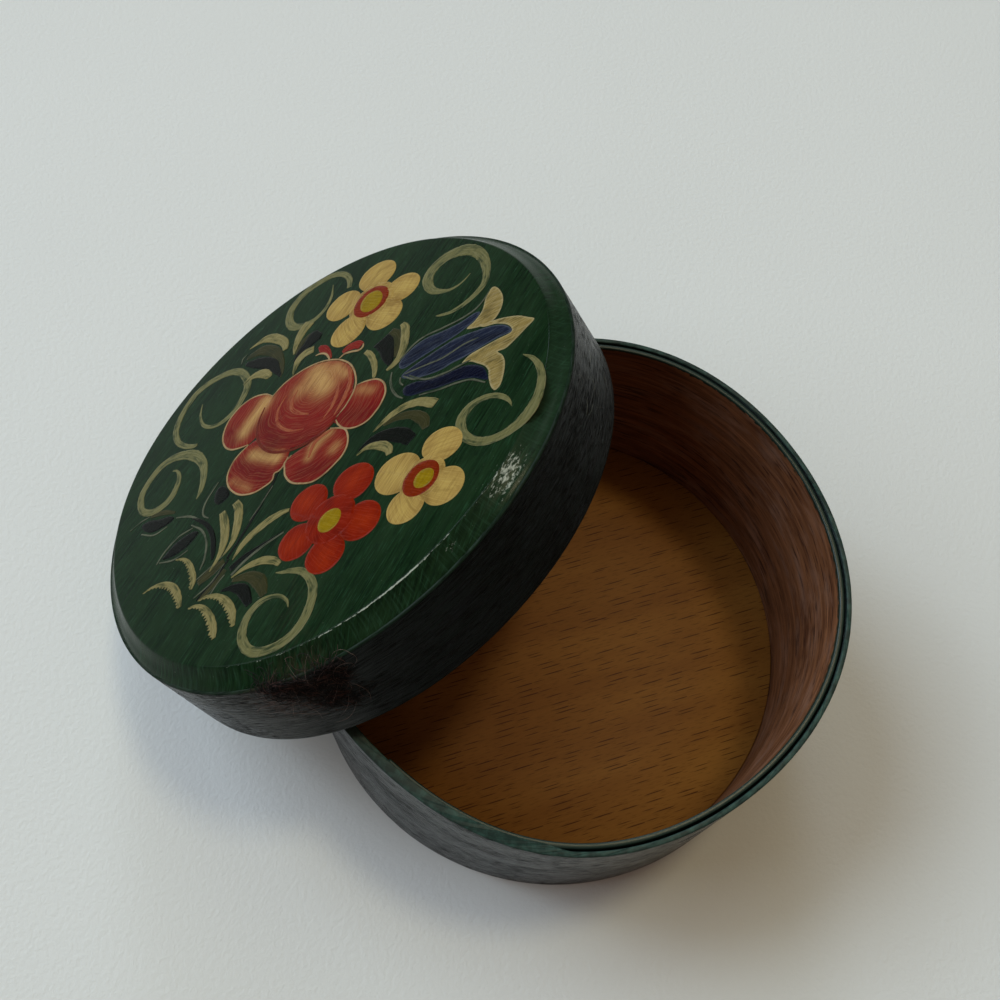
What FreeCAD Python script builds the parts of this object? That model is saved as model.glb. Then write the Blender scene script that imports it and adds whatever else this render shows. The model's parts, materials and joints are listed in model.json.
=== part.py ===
# Round bentwood box with a lift-off lid, each made of a turned wooden disc and two thin bent plies.
# The box stands on its bottom, centred on the origin, with +Z up.  The lid lies off it: its skirt's
# low edge is on the table at -X and the underside of its disc leans on the rim of the box.
import FreeCAD, Part
import os

import Sketcher

VECTOR = FreeCAD.Vector

# Driving sizes in millimetres, and in degrees where the name ends in _angle or _lean.
SIZES = (
    ("box_radius", 50.0, "outside of the box, half of its width"),
    ("box_height", 44.2, "table to rim"),
    ("box_ply", 1.15, "thickness of each of the box's two bent plies"),
    ("bottom_thickness", 4.0, "the box's turned bottom disc"),
    ("lap_angle", 254.0, "where the box's inner ply begins, seen from above, from +X"),
    ("lap_open_angle", 24.0, "arc before it where the wall is one ply only"),
    ("seam_angle", 205.0, "where the ends of the box's outer ply meet"),
    ("seam_gap", 0.3, "open slit where a ply's ends meet"),
    ("edge_ease", 0.25, "sanded corners of the plies and of the bottom disc"),
    ("lid_clearance", 0.4, "between the outside of the box and the inside of the lid's skirt"),
    ("lid_ply", 1.15, "thickness of each of the lid's two bent plies"),
    ("lid_height", 19.4, "skirt edge to painted top"),
    ("lid_disc_thickness", 5.0, "the lid's turned disc"),
    ("bevel_width", 2.35, "bevel round the top, measured across"),
    ("bevel_drop", 2.65, "bevel round the top, measured down"),
    ("shoulder_ease", 0.6, "rounded top corner of the lid's outer ply"),
    ("lid_inner_seam_angle", 250.0, "where the ends of the lid's inner ply meet"),
    ("lid_outer_seam_angle", 130.0, "where the ends of the lid's outer ply meet"),
    ("rest_gap", 0.15, "between the rim of the box and the underside of the lid leaning on it"),
    ("table_gap", 0.1, "between the table and the lid's low edge"),
    ("skirt_gap", 0.25, "sideways, between the rim and the skirt where they cross"),
    ("extra_lean", 1.8, "lean past the angle at which the skirt would touch the rim on both sides"),
)

# Radii worked out from the driving sizes, the box's from the outside in, the lid's outwards.
BOX_JOINT = "(Sizes.box_radius - Sizes.box_ply)"
BOX_INSIDE = "(Sizes.box_radius - 2 * Sizes.box_ply)"
LID_BORE = "(Sizes.box_radius + Sizes.lid_clearance)"
LID_JOINT = f"({LID_BORE} + Sizes.lid_ply)"
LID_RADIUS = f"({LID_BORE} + 2 * Sizes.lid_ply)"

# Heights in the lid, from its skirt's edge.  The bevel is one cone across the disc and the inner ply.
LID_UNDERSIDE = "(Sizes.lid_height - Sizes.lid_disc_thickness)"
SHOULDER = "(Sizes.lid_height - Sizes.bevel_drop)"
BEVEL_START = f"({LID_JOINT} - Sizes.bevel_width)"
BEVEL_AT_BORE = f"({SHOULDER} + Sizes.bevel_drop * Sizes.lid_ply / Sizes.bevel_width)"

# The leaning lid.  Were the skirt to touch the rim on both sides, rim and skirt would share a chord
# that lies equally far from the box's centre and the lid's, which gives the touching lean.
LEANING_DEPTH = f"({LID_UNDERSIDE} - Sizes.rest_gap)"
REACH = f"({LID_RADIUS} + Sizes.box_radius)"
TOUCHING_LEAN = f"asin((Sizes.box_height + {LEANING_DEPTH} - Sizes.table_gap) / {REACH})"
LEAN = f"({TOUCHING_LEAN} + Sizes.extra_lean * 1 deg)"
LID_Z = f"({LID_RADIUS} * sin({LEAN}) + Sizes.table_gap)"
RIM_ABOVE_LID = f"(Sizes.box_height - {LID_Z})"
LID_X = f"(({LEANING_DEPTH} - {RIM_ABOVE_LID} * cos({LEAN})) / sin({LEAN}) - Sizes.box_radius)"

# The lid has slid sideways until its skirt stops at the rim on the -Y side.
CHORD_UP_SLOPE = f"({RIM_ABOVE_LID} / sin({LEAN}))"
CHORD_X = f"({LID_X} + {CHORD_UP_SLOPE} * cos({LEAN}))"
SKIRT_HALF_CHORD = f"sqrt({LID_BORE} ^ 2 - {CHORD_UP_SLOPE} ^ 2)"
RIM_HALF_CHORD = f"sqrt(Sizes.box_radius ^ 2 - {CHORD_X} ^ 2)"
LID_Y = f"({SKIRT_HALF_CHORD} - {RIM_HALF_CHORD} - Sizes.skirt_gap)"


def fill_sheet(doc):
    """Writes the driving sizes to a sheet, one row each, with the name as its alias."""
    sheet = doc.addObject("Spreadsheet::Sheet", "Sizes")
    for row, (name, number, meaning) in enumerate(SIZES, start=1):
        sheet.set(f"A{row}", name)
        sheet.set(f"B{row}", str(number))
        sheet.set(f"C{row}", meaning)
        sheet.setAlias(f"B{row}", name)
    doc.recompute()
    return sheet


def seam_arc(radius):
    """The arc, in degrees, left open by a seam at this radius."""
    return f"(Sizes.seam_gap / {radius} * 180 / pi)"


def place_corner(sketch, line, across, up):
    """Ties the start of a line to its distance from the axis and its height."""
    for kind, axis, expression in (("DistanceX", -2, across), ("DistanceY", -1, up)):
        if expression == "0":
            sketch.addConstraint(Sketcher.Constraint("PointOnObject", line, 1, axis))
            continue
        distance = float(sketch.evalExpression(expression))
        number = sketch.addConstraint(Sketcher.Constraint(kind, -1, 1, line, 1, distance))
        sketch.setExpression(f"Constraints[{number}]", expression)


def half_section(body, corners, start_angle):
    """Draws a closed half section on the body's XZ plane, turned about Z to where its ring starts."""
    sketch = body.newObject("Sketcher::SketchObject", body.Name + "_section")
    plane = [f for f in body.Origin.OriginFeatures if f.Role == "XZ_Plane"][0]
    sketch.AttachmentSupport = (plane, [""])
    sketch.MapMode = "FlatFace"
    points = [VECTOR(float(sketch.evalExpression(a)), float(sketch.evalExpression(u)), 0)
              for a, u in corners]
    count = len(points)
    for line in range(count):
        sketch.addGeometry(Part.LineSegment(points[line], points[(line + 1) % count]), False)
    for line in range(count):
        sketch.addConstraint(Sketcher.Constraint("Coincident", line, 2, (line + 1) % count, 1))
    for line, (across, up) in enumerate(corners):
        place_corner(sketch, line, across, up)
    if start_angle:
        sketch.AttachmentOffset = FreeCAD.Placement(VECTOR(), FreeCAD.Rotation(VECTOR(0, 1, 0), 90))
        sketch.setExpression("AttachmentOffset.Rotation.Angle", start_angle)
    return sketch


def turned(doc, name, corners, open_arc="", start_angle=""):
    """A body turned from a half section: a whole disc, or a bent ply with an arc left open."""
    body = doc.addObject("PartDesign::Body", name)
    body.Label = name
    sketch = half_section(body, corners, start_angle)
    turn = body.newObject("PartDesign::Revolution", name + "_turn")
    turn.Profile = sketch
    turn.ReferenceAxis = (sketch, ["V_Axis"])
    turn.Angle = 360
    if open_arc:
        turn.setExpression("Angle", f"360 - {open_arc}")
    sketch.Visibility = False
    body.Tip = turn
    return body


def ply_section(inside, outside, height):
    """Half section of an upright ply with sanded corners at its top."""
    ease = "Sizes.edge_ease"
    return [
        (inside, "0"),
        (outside, "0"),
        (outside, f"{height} - {ease}"),
        (f"{outside} - {ease}", height),
        (f"{inside} + {ease}", height),
        (inside, f"{height} - {ease}"),
    ]


def make_box_bottom(doc):
    """The turned bottom disc, inside the plies and level with their lower edges."""
    ease = "Sizes.edge_ease"
    return turned(doc, "box_bottom", [
        ("0", "0"),
        (f"{BOX_INSIDE} - {ease}", "0"),
        (BOX_INSIDE, ease),
        (BOX_INSIDE, "Sizes.bottom_thickness"),
        ("0", "Sizes.bottom_thickness"),
    ])


def make_box_inner_band(doc):
    """The inner ply, which stops short of a full turn and leaves a stretch of single wall."""
    section = ply_section(BOX_INSIDE, BOX_JOINT, "Sizes.box_height")
    return turned(doc, "box_inner_band", section, "Sizes.lap_open_angle", "Sizes.lap_angle")


def make_box_outer_band(doc):
    """The outer ply, bent right round until its ends meet."""
    section = ply_section(BOX_JOINT, "Sizes.box_radius", "Sizes.box_height")
    return turned(doc, "box_outer_band", section, seam_arc(BOX_JOINT), "Sizes.seam_angle")


def make_lid_top(doc):
    """The turned disc that carries the painting, let into the inner ply, its edge bevelled."""
    return turned(doc, "lid_top", [
        ("0", LID_UNDERSIDE),
        (LID_BORE, LID_UNDERSIDE),
        (LID_BORE, BEVEL_AT_BORE),
        (BEVEL_START, "Sizes.lid_height"),
        ("0", "Sizes.lid_height"),
    ])


def make_lid_inner_band(doc):
    """The inner ply of the skirt, which carries the bevel on from the disc."""
    ease = "Sizes.edge_ease"
    section = [
        (f"{LID_BORE} + {ease}", "0"),
        (LID_JOINT, "0"),
        (LID_JOINT, SHOULDER),
        (LID_BORE, BEVEL_AT_BORE),
        (LID_BORE, ease),
    ]
    return turned(doc, "lid_inner_band", section, seam_arc(LID_BORE), "Sizes.lid_inner_seam_angle")


def make_lid_outer_band(doc):
    """The outer ply of the skirt, which ends at the foot of the bevel."""
    ease = "Sizes.edge_ease"
    shoulder_ease = "Sizes.shoulder_ease"
    section = [
        (LID_JOINT, "0"),
        (f"{LID_RADIUS} - {ease}", "0"),
        (LID_RADIUS, ease),
        (LID_RADIUS, f"{SHOULDER} - {shoulder_ease}"),
        (f"{LID_RADIUS} - {shoulder_ease}", SHOULDER),
        (LID_JOINT, SHOULDER),
    ]
    return turned(doc, "lid_outer_band", section, seam_arc(LID_JOINT), "Sizes.lid_outer_seam_angle")


def lean_lid_piece(body):
    """Lays a lid piece in the leaning place: tipped towards -X, low edge on the table."""
    tipped = FreeCAD.Rotation(VECTOR(0, -1, 0), 30)
    body.Placement = FreeCAD.Placement(VECTOR(), tipped)
    body.setExpression("Placement.Rotation.Angle", LEAN)
    body.setExpression("Placement.Base.x", LID_X)
    body.setExpression("Placement.Base.y", LID_Y)
    body.setExpression("Placement.Base.z", LID_Z)


def check(doc, bodies):
    """Stops if any object failed to recompute or any piece isn't one valid solid."""
    for thing in doc.Objects:
        if "Invalid" in thing.State or "Error" in thing.State:
            raise RuntimeError(f"{thing.Label} did not recompute: {thing.State}")
    for body in bodies:
        shape = body.Shape
        if shape.isNull() or not shape.isValid() or len(shape.Solids) != 1:
            raise RuntimeError(f"{body.Label} is not one valid solid")
        print(f"{body.Label}: {shape.Volume / 1000:.2f} cm3, {len(shape.Faces)} faces")


def main():
    doc = FreeCAD.newDocument("bentwood_box")
    fill_sheet(doc)
    box_pieces = [make_box_bottom(doc), make_box_inner_band(doc), make_box_outer_band(doc)]
    lid_pieces = [make_lid_top(doc), make_lid_inner_band(doc), make_lid_outer_band(doc)]
    for body in lid_pieces:
        lean_lid_piece(body)
    doc.recompute()

    bodies = box_pieces + lid_pieces
    check(doc, bodies)
    os.makedirs("parts", exist_ok=True)
    for body in bodies:
        body.Shape.exportStep(os.path.join("parts", body.Label + ".step"))


main()
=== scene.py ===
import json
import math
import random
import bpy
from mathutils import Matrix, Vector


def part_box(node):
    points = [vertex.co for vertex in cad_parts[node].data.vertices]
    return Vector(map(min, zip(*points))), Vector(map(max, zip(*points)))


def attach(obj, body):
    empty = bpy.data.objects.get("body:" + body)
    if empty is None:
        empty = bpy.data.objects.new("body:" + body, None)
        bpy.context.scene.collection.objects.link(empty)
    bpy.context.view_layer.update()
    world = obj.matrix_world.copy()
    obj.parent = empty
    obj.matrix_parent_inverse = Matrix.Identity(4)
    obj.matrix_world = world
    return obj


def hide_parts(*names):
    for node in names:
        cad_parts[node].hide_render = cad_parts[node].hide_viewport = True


bl_info = {
    "name": "Round painted bentwood box",
    "version": (1, 0, 0),
    "blender": (4, 5, 0),
    "location": "3D View > Sidebar > Bentwood box",
    "description": "Looks of a round bentwood box with a flower-painted lid",
    "category": "Object",
}

import bpy
import numpy as np
from bpy.props import FloatProperty, FloatVectorProperty, IntProperty, PointerProperty
from mathutils import Matrix, Vector
from mathutils.geometry import delaunay_2d_cdt
from mathutils.noise import noise

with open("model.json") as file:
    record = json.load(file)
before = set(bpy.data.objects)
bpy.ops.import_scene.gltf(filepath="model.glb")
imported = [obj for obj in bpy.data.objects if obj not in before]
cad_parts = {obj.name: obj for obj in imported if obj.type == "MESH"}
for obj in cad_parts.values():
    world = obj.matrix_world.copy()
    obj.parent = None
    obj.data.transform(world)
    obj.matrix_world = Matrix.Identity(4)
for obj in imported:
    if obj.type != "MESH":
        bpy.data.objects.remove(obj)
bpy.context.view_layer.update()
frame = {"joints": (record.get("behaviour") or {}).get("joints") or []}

MM = 0.001
TURN = 2 * math.pi

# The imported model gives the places: the box stands on the origin, the lid leans along its joint.
BOX_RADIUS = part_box("box_outer_band")[1].y / MM
BOX_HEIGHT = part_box("box_outer_band")[1].z / MM
FLOOR_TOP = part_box("box_bottom")[1].z / MM
LID_AXIS = Vector(frame["joints"][0]["axis"]).normalized()
UP_SLOPE = Vector((LID_AXIS.z, 0, -LID_AXIS.x))
# Middle of the plane of the lid's low edge, in millimetres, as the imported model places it.
LID_CENTRE = Vector((-43.361, 2.589, 31.389))
LID_HEIGHT = 19.4
LID_SHOULDER = 16.75
LID_UNDERSIDE = 14.4
LID_BORE = 50.4
PLY = 1.15
# Parts of a standing ply's section, kept with each point for the materials.
OUTSIDE, TOP, INSIDE, FOOT = range(4)
# Depth below the rim's paint, in millimetres, where a face is painted or bare all over.
ALL_PAINTED, ALL_BARE = -3.0, 9.0

# Out of round, in millimetres: cosine and sine parts of the first turns of a Fourier row.
RIM_WAVES = ((0.137, 1.496), (0.233, 1.28), (-0.315, -0.839), (0.155, 0.785))
FOOT_RADIUS, FOOT_X, FOOT_Y = 50.4, 0.19, 0.54
LID_WAVES = ((-0.794, -0.523), (-0.148, 0.024), (0.033, 0.309))
# Stretch of the wall that the lid leans over, in degrees: start, full, waning and end.
UNDER_LID = (112, 150, 225, 243)


# Places and shapes


def from_lid(points):
    """Lid millimetres (up the slope, across, up from the low edge) to the model's metres."""
    p = np.asarray(points, float)
    out = np.array(LID_CENTRE)[None, :] + p[:, :1] * np.array(UP_SLOPE)[None, :]
    out = out + p[:, 2:3] * np.array(LID_AXIS)[None, :]
    out[:, 1] += p[:, 1]
    return out * MM


def from_box(points):
    """Box millimetres to metres."""
    return np.asarray(points, float) * MM


def smooth(a, b, x):
    """0 before a, 1 after b, with a soft start and end."""
    t = np.clip((x - a) / (b - a), 0, 1)
    return t * t * (3 - 2 * t)


def stretch(degrees, turns):
    """1 on a stretch of the way round, 0 elsewhere, with soft ends."""
    start, full, waning, end = turns
    return smooth(start, full, degrees) * (1 - smooth(waning, end, degrees))


def bell(x, middle, width):
    """1 at the middle, falling softly to nothing on both sides."""
    return np.exp(-(((x - middle) / width) ** 2))


def wave_row(angle, rows, first):
    """Sum of the Fourier row at an angle."""
    total = angle * 0
    for k, (c, s) in enumerate(rows, start=first):
        total = total + c * np.cos(k * angle) + s * np.sin(k * angle)
    return total


def box_radius_at(angle, z):
    """Outside of the box's wall: the rim is pressed out of round, the foot sits a little off."""
    under_lid = stretch(np.degrees(angle) % 360, UNDER_LID)
    rim = BOX_RADIUS + wave_row(angle, RIM_WAVES, 1) * (1 - under_lid)
    foot = FOOT_RADIUS + FOOT_X * np.cos(angle) + FOOT_Y * np.sin(angle)
    foot = foot + (BOX_RADIUS - foot) * under_lid * 0.5
    t = np.clip(z / BOX_HEIGHT, 0, 1)
    return foot * (1 - t) + rim * t


def lid_out_of_round(angle):
    """How far the lid's outside stands off a true circle."""
    return wave_row(angle, LID_WAVES, 2)


def grain_relief(arc_mm, height_mm, long_mm, fine_mm, seed):
    """Height of open grain that runs along the arc, from -1 to 1."""
    return noise(Vector((arc_mm / long_mm, height_mm / fine_mm, seed)))


# Meshes


def new_piece(name, verts, faces, materials, place):
    """A smooth shaded mesh object from millimetres."""
    mesh = bpy.data.meshes.new(name)
    mesh.from_pydata([tuple(v) for v in place(verts)], [], [tuple(f) for f in faces])
    mesh.update()
    for m in materials:
        mesh.materials.append(m)
    mesh.polygons.foreach_set("use_smooth", [True] * len(mesh.polygons))
    piece = bpy.data.objects.new(name, mesh)
    bpy.context.scene.collection.objects.link(piece)
    return piece


def store(piece, name, rows):
    """Keeps one number or three for each point, for the materials."""
    rows = np.asarray(rows, np.float32)
    kind, key = ("FLOAT", "value") if rows.ndim == 1 else ("FLOAT_VECTOR", "vector")
    piece.data.attributes.new(name, kind, "POINT").data.foreach_set(key, rows.ravel())


def ring_faces(columns, rows):
    """Faces between `columns` cross sections of `rows` points each, closed at both ends."""
    faces = []
    for i in range(columns - 1):
        a, b = i * rows, (i + 1) * rows
        for j in range(rows):
            k = (j + 1) % rows
            faces.append((a + j, b + j, b + k, a + k))
    faces.append(tuple(range(rows)))
    faces.append(tuple((columns - 1) * rows + j for j in range(rows))[::-1])
    return faces


def corner(p, before, after, ease):
    """Points of a rounded corner at p."""
    p, before, after = (np.array(v, float) for v in (p, before, after))
    a = p + (before - p) / np.linalg.norm(before - p) * ease
    b = p + (after - p) / np.linalg.norm(after - p) * ease
    return [a * (1 - t) ** 2 + p * 2 * t * (1 - t) + b * t * t for t in (0, 1 / 3, 2 / 3, 1)]


def wall_section(outer, inner, high, ease, top_ease, outside_points, inside_points):
    """Closed section of a standing ply: up the outside, over the top, down the inside."""
    out_z = np.linspace(ease, high - top_ease, outside_points)
    in_z = np.linspace(high - top_ease, ease, inside_points)
    top_out, top_in, low_in, low_out = (outer(high), high), (inner(high), high), (inner(0), 0), (outer(0), 0)
    top = corner(top_out, low_out, top_in, top_ease)[1:] + corner(top_in, top_out, low_in, top_ease)[:-1]
    foot = corner(low_in, top_in, low_out, ease)[1:] + corner(low_out, low_in, top_out, ease)[:-1]
    points = np.vstack([np.stack([outer(out_z), out_z], 1), top, np.stack([inner(in_z), in_z], 1), foot])
    zone = [OUTSIDE] * len(out_z) + [TOP] * len(top) + [INSIDE] * len(in_z) + [FOOT] * len(foot)
    return points, zone


def bent_ply(name, section_at, angles, place, finish, relief):
    """A ply whose section is a function of the angle, with grain relief on its faces."""
    verts, params = [], []
    for a in angles:
        points, zone = section_at(a)
        ca, sa = math.cos(a), math.sin(a)
        for (r, z), part in zip(points.tolist(), zone):
            r_here = r + relief(a, r, z, part)
            verts.append((r_here * ca, r_here * sa, z))
            params.append((a * r, z, part))
    faces = ring_faces(len(angles), len(verts) // len(angles))
    piece = new_piece(name, verts, faces, [material(finish)], place)
    store(piece, "grain", params)
    return piece


def arc(start, end, step, closed=False):
    """Angles in radians from start to end in degrees."""
    count = max(3, int(round((end - start) / step)) + (0 if closed else 1))
    return np.radians(np.linspace(start, end, count, endpoint=not closed))


def seamed(seam, step):
    """Angles all the way round from one side of a butt seam to the other."""
    return arc(seam + HALF_GAP, seam + 360 - HALF_GAP, step)


def disc(name, rings, angles, place, materials):
    """A turned disc from (radius at an angle, height) rings; both faces close on the middle."""
    verts, n = [], len(angles)
    for radius_at, z in rings:
        for a in angles:
            r = radius_at(a)
            verts.append((r * math.cos(a), r * math.sin(a), z))
    faces = []
    for i in range(len(rings) - 1):
        for j in range(n):
            k = (j + 1) % n
            faces.append((i * n + j, i * n + k, (i + 1) * n + k, (i + 1) * n + j))
    low, high = len(verts), len(verts) + 1
    verts.append((0, 0, rings[0][1]))
    verts.append((0, 0, rings[-1][1]))
    top = (len(rings) - 1) * n
    for j in range(n):
        k = (j + 1) % n
        faces.append((low, k, j))
        faces.append((high, top + j, top + k))
    return new_piece(name, verts, faces, materials, place)


# Materials


def linear(colour):
    """A hex sRGB colour as the linear values that shaders take."""
    values = [int(colour.lstrip("#")[i : i + 2], 16) / 255 for i in (0, 2, 4)]
    return [v / 12.92 if v <= 0.04045 else ((v + 0.055) / 1.055) ** 2.4 for v in values] + [1]


def paint_property(name, description, colour):
    """A colour that the user can change, given as the hex value it starts from."""
    return FloatVectorProperty(name=name, description=description, subtype="COLOR", size=4, min=0, max=1,
                               default=linear(colour))


def length_property(name, description, millimetres):
    """A length that the user can change, kept in metres."""
    return FloatProperty(name=name, description=description, default=millimetres * MM, min=0, precision=5,
                         unit="LENGTH")


class BENTWOOD_PG_looks(bpy.types.PropertyGroup):
    """The sizes and colours of the box that a user would change"""

    lid_green: paint_property("Lid green", "Green ground of the lid's top", "#09180b")
    band_green: paint_property("Band green", "Nearly black green of the bent plies", "#020302")
    rim_green: paint_property("Rim green", "Blue green on the rim of the box", "#192922")
    petal_cream: paint_property("Petal cream", "The two cream flowers", "#8e733c")
    scroll_green: paint_property("Scroll green", "The pale green scrolls", "#5c5937")
    petal_red: paint_property("Petal red", "The orange red flower", "#6d1200")
    rose_red: paint_property("Rose red", "The rose", "#6a110e")
    tulip_blue: paint_property("Tulip blue", "The blue lobes of the tulip", "#121829")
    beech_dark: paint_property("Beech, dark", "Darker growth rings of the floor", "#855722")
    beech_light: paint_property("Beech, light", "Lighter growth rings of the floor", "#93652a")
    ply_dark: paint_property("Bare ply, dark", "Darker streaks of the bare ply", "#5d371f")
    ply_light: paint_property("Bare ply, light", "Lighter streaks of the bare ply", "#905f3d")
    ray_length: length_property("Ray length", "Length of the dark rays in the beech floor", 4.7)
    ray_width: length_property("Ray width", "Width of the dark rays in the beech floor", 0.22)
    groove: length_property("Rim groove", "Width of the groove between the two plies at the rim", 0.36)
    wall_grain: length_property("Wall grain", "Depth of the open grain on the box's wall", 0.05)
    band_grain: length_property("Lid band grain", "Depth of the open grain on the lid's band", 0.06)
    film: FloatProperty(name="Film thickness", description="Thickness of the painting against the usual",
                        default=1.0, min=0.3, max=2.0)
    fibre_share: FloatProperty(name="Fibres", description="Share of the torn fibres that is kept",
                               default=1.0, min=0.05, max=1.0, subtype="FACTOR")
    fibre_seed: IntProperty(name="Fibre seed", description="Where the torn fibres lie", default=4, min=0)


def looks():
    """The settings on the scene."""
    return bpy.context.scene.bentwood_looks


def colour_of(value):
    """A paint as linear values: a hex colour, or the name of a setting."""
    return linear(value) if value[0] == "#" else list(getattr(looks(), value))

def add(tree, kind, settings=None, **links):
    """One node with its settings; a keyword names an input and takes a value, an output or a node."""
    node = tree.nodes.new("ShaderNode" + kind)
    for key, value in (settings or {}).items():
        setattr(node, key, value)
    for key, value in links.items():
        numbered = key[0] == "i" and key[1:].isdigit()
        socket = node.inputs[int(key[1:])] if numbered else node.inputs[key.replace("_", " ")]
        if isinstance(value, bpy.types.Node):
            value = value.outputs[0]
        if isinstance(value, bpy.types.NodeSocket):
            tree.links.new(value, socket)
        else:
            socket.default_value = value
    return node


def new_material(name):
    """An empty material with its shader."""
    material = bpy.data.materials.new(name)
    material.use_nodes = True
    tree = material.node_tree
    tree.nodes.clear()
    out = tree.nodes.new("ShaderNodeOutputMaterial")
    shader = tree.nodes.new("ShaderNodeBsdfPrincipled")
    tree.links.new(shader.outputs[0], out.inputs[0])
    return material, tree, shader


def pattern(tree, place, sizes, detail, rough=0.5, depth=1, unit=1):
    """Noise whose patches have the sizes given, in millimetres, along a place's first two directions."""
    reach = (unit / sizes[0], unit / sizes[1], depth)
    place = add(tree, "VectorMath", {"operation": "MULTIPLY"}, i0=place, i1=reach)
    return add(tree, "TexNoise", i0=place, Scale=1.0, Detail=detail, Roughness=rough).outputs[0]


def coats(tree, ground, rows):
    """Lays paints over a ground, each by its share, or by a source with its low, high and greatest share."""
    colour = colour_of(ground)
    for share, *span, paint in rows:
        if span:
            low, high, most = span
            share = add(tree, "MapRange", i0=share, i1=low, i2=high, i3=0.0, i4=most)
        over = paint if isinstance(paint, bpy.types.NodeSocket) else colour_of(paint)
        colour = add(tree, "Mix", {"data_type": "RGBA"}, i0=share, i6=colour, i7=over).outputs[2]
    return colour


def surface(tree, shader, colour, roughness, relief=None, strength=0.0, distance=0.0, **sockets):
    """Joins a finish to its shader: colour, roughness, and a bump of so many metres from a relief."""
    tree.links.new(colour, shader.inputs["Base Color"])
    if isinstance(roughness, bpy.types.Node):
        tree.links.new(roughness.outputs[0], shader.inputs["Roughness"])
    else:
        shader.inputs["Roughness"].default_value = roughness
    for name, value in sockets.items():
        shader.inputs[name.replace("_", " ")].default_value = value
    if relief:
        bump = add(tree, "Bump", Strength=strength, Distance=distance, Height=relief)
        tree.links.new(bump.outputs[0], shader.inputs["Normal"])


def matt_laminate(name):
    """Pale matt laminate of the table: an even light grey with a fine pebbled surface."""
    made, tree, shader = new_material(name)
    place = add(tree, "TexCoord").outputs["Object"]
    pebbles = add(tree, "TexNoise", Vector=place, Scale=900.0, Detail=3.0, Roughness=0.6)
    broad = add(tree, "TexNoise", Vector=place, Scale=9.0, Detail=2.0)
    colour = coats(tree, "#cdd0cb", [(broad, "#d3d6d1")])
    surface(tree, shader, colour, 0.6, pebbles, 0.6, 0.00018)
    return made


def torn_fibre(root, tip):
    """Wood fibre torn out of painted ply: dull, uneven in tone from one thread to the next."""

    def make(name):
        made, tree, shader = new_material(name)
        place = add(tree, "TexCoord").outputs["Object"]
        tone = add(tree, "TexNoise", Vector=place, Scale=1200.0, Detail=1.0)
        colour = coats(tree, root, [(tone, 0.35, 0.65, 1, tip)])
        surface(tree, shader, colour, 0.8, Specular_IOR_Level=0.2)
        return made

    return make


MATERIALS = {}


def material(name):
    """The named finish, made on first use."""
    if name not in MATERIALS:
        MATERIALS[name] = FINISHES[name](name)
    return MATERIALS[name]


PAINT_UNDER = "#142716"
# Degrees between the floor's grain and the frame, and the patch of floor that holds one ray.
GRAIN_TURN = 45
RAY_CELL = (6.4, 1.3)
# Open pores of the painted board, across and along the grain: about 0.1 mm wide in beech, and drawn
# four times as wide to show.
PORE_ACROSS, PORE_ALONG = 1000 / 2600, 1000 / 130
# How fast the board's patterns change with height.
DISC_DEPTH = 0.4
FIBRE_BROWN = "#4a342b"


def brushed_paint(base, light, dark, edge, thin, streak):
    """Oil paint laid with a small round brush: bristle streaks, and green showing where it is thin."""

    def make(name):
        made, tree, shader = new_material(name)
        grain = add(tree, "Attribute", {"attribute_name": "grain"}).outputs["Vector"]
        tone = add(tree, "Attribute", {"attribute_name": "tone"}).outputs["Vector"]
        lit, shaded, from_edge = add(tree, "SeparateXYZ", i0=tone).outputs
        # A bristle leaves a line of about 0.15 mm, which is drawn twice as coarse to show.
        hairs = pattern(tree, grain, (3.5, 0.3), 3, 0.6)
        broad = pattern(tree, grain, (3, 1.3), 2)
        place = add(tree, "TexCoord").outputs["Object"]
        wood = pattern(tree, place, (PORE_ACROSS, PORE_ALONG), 3, 0.7, 1000 / PORE_ACROSS, 1000)
        bare = add(tree, "Math", {"operation": "ADD"}, i0=hairs, i1=broad)
        colour = coats(tree, base, [
            (lit, light), (shaded, dark), (hairs, 0.45, 0.85, streak, light), (broad, 0.5, 0.2, streak, dark),
            (wood, 0.52, 0.3, 0.5, dark), (from_edge, 0.5, 0.15, edge, light),
            (bare, 0.95, 0.75, thin, PAINT_UNDER),
        ])
        ridges = add(tree, "Math", {"operation": "ADD"}, i0=hairs, i1=wood)
        satin = add(tree, "MapRange", i0=hairs, i1=0.3, i2=0.7, i3=0.2, i4=0.32)
        surface(tree, shader, colour, satin, ridges, 0.6, 0.00004, IOR=1.45, Specular_IOR_Level=0.07)
        return made

    return make


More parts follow.
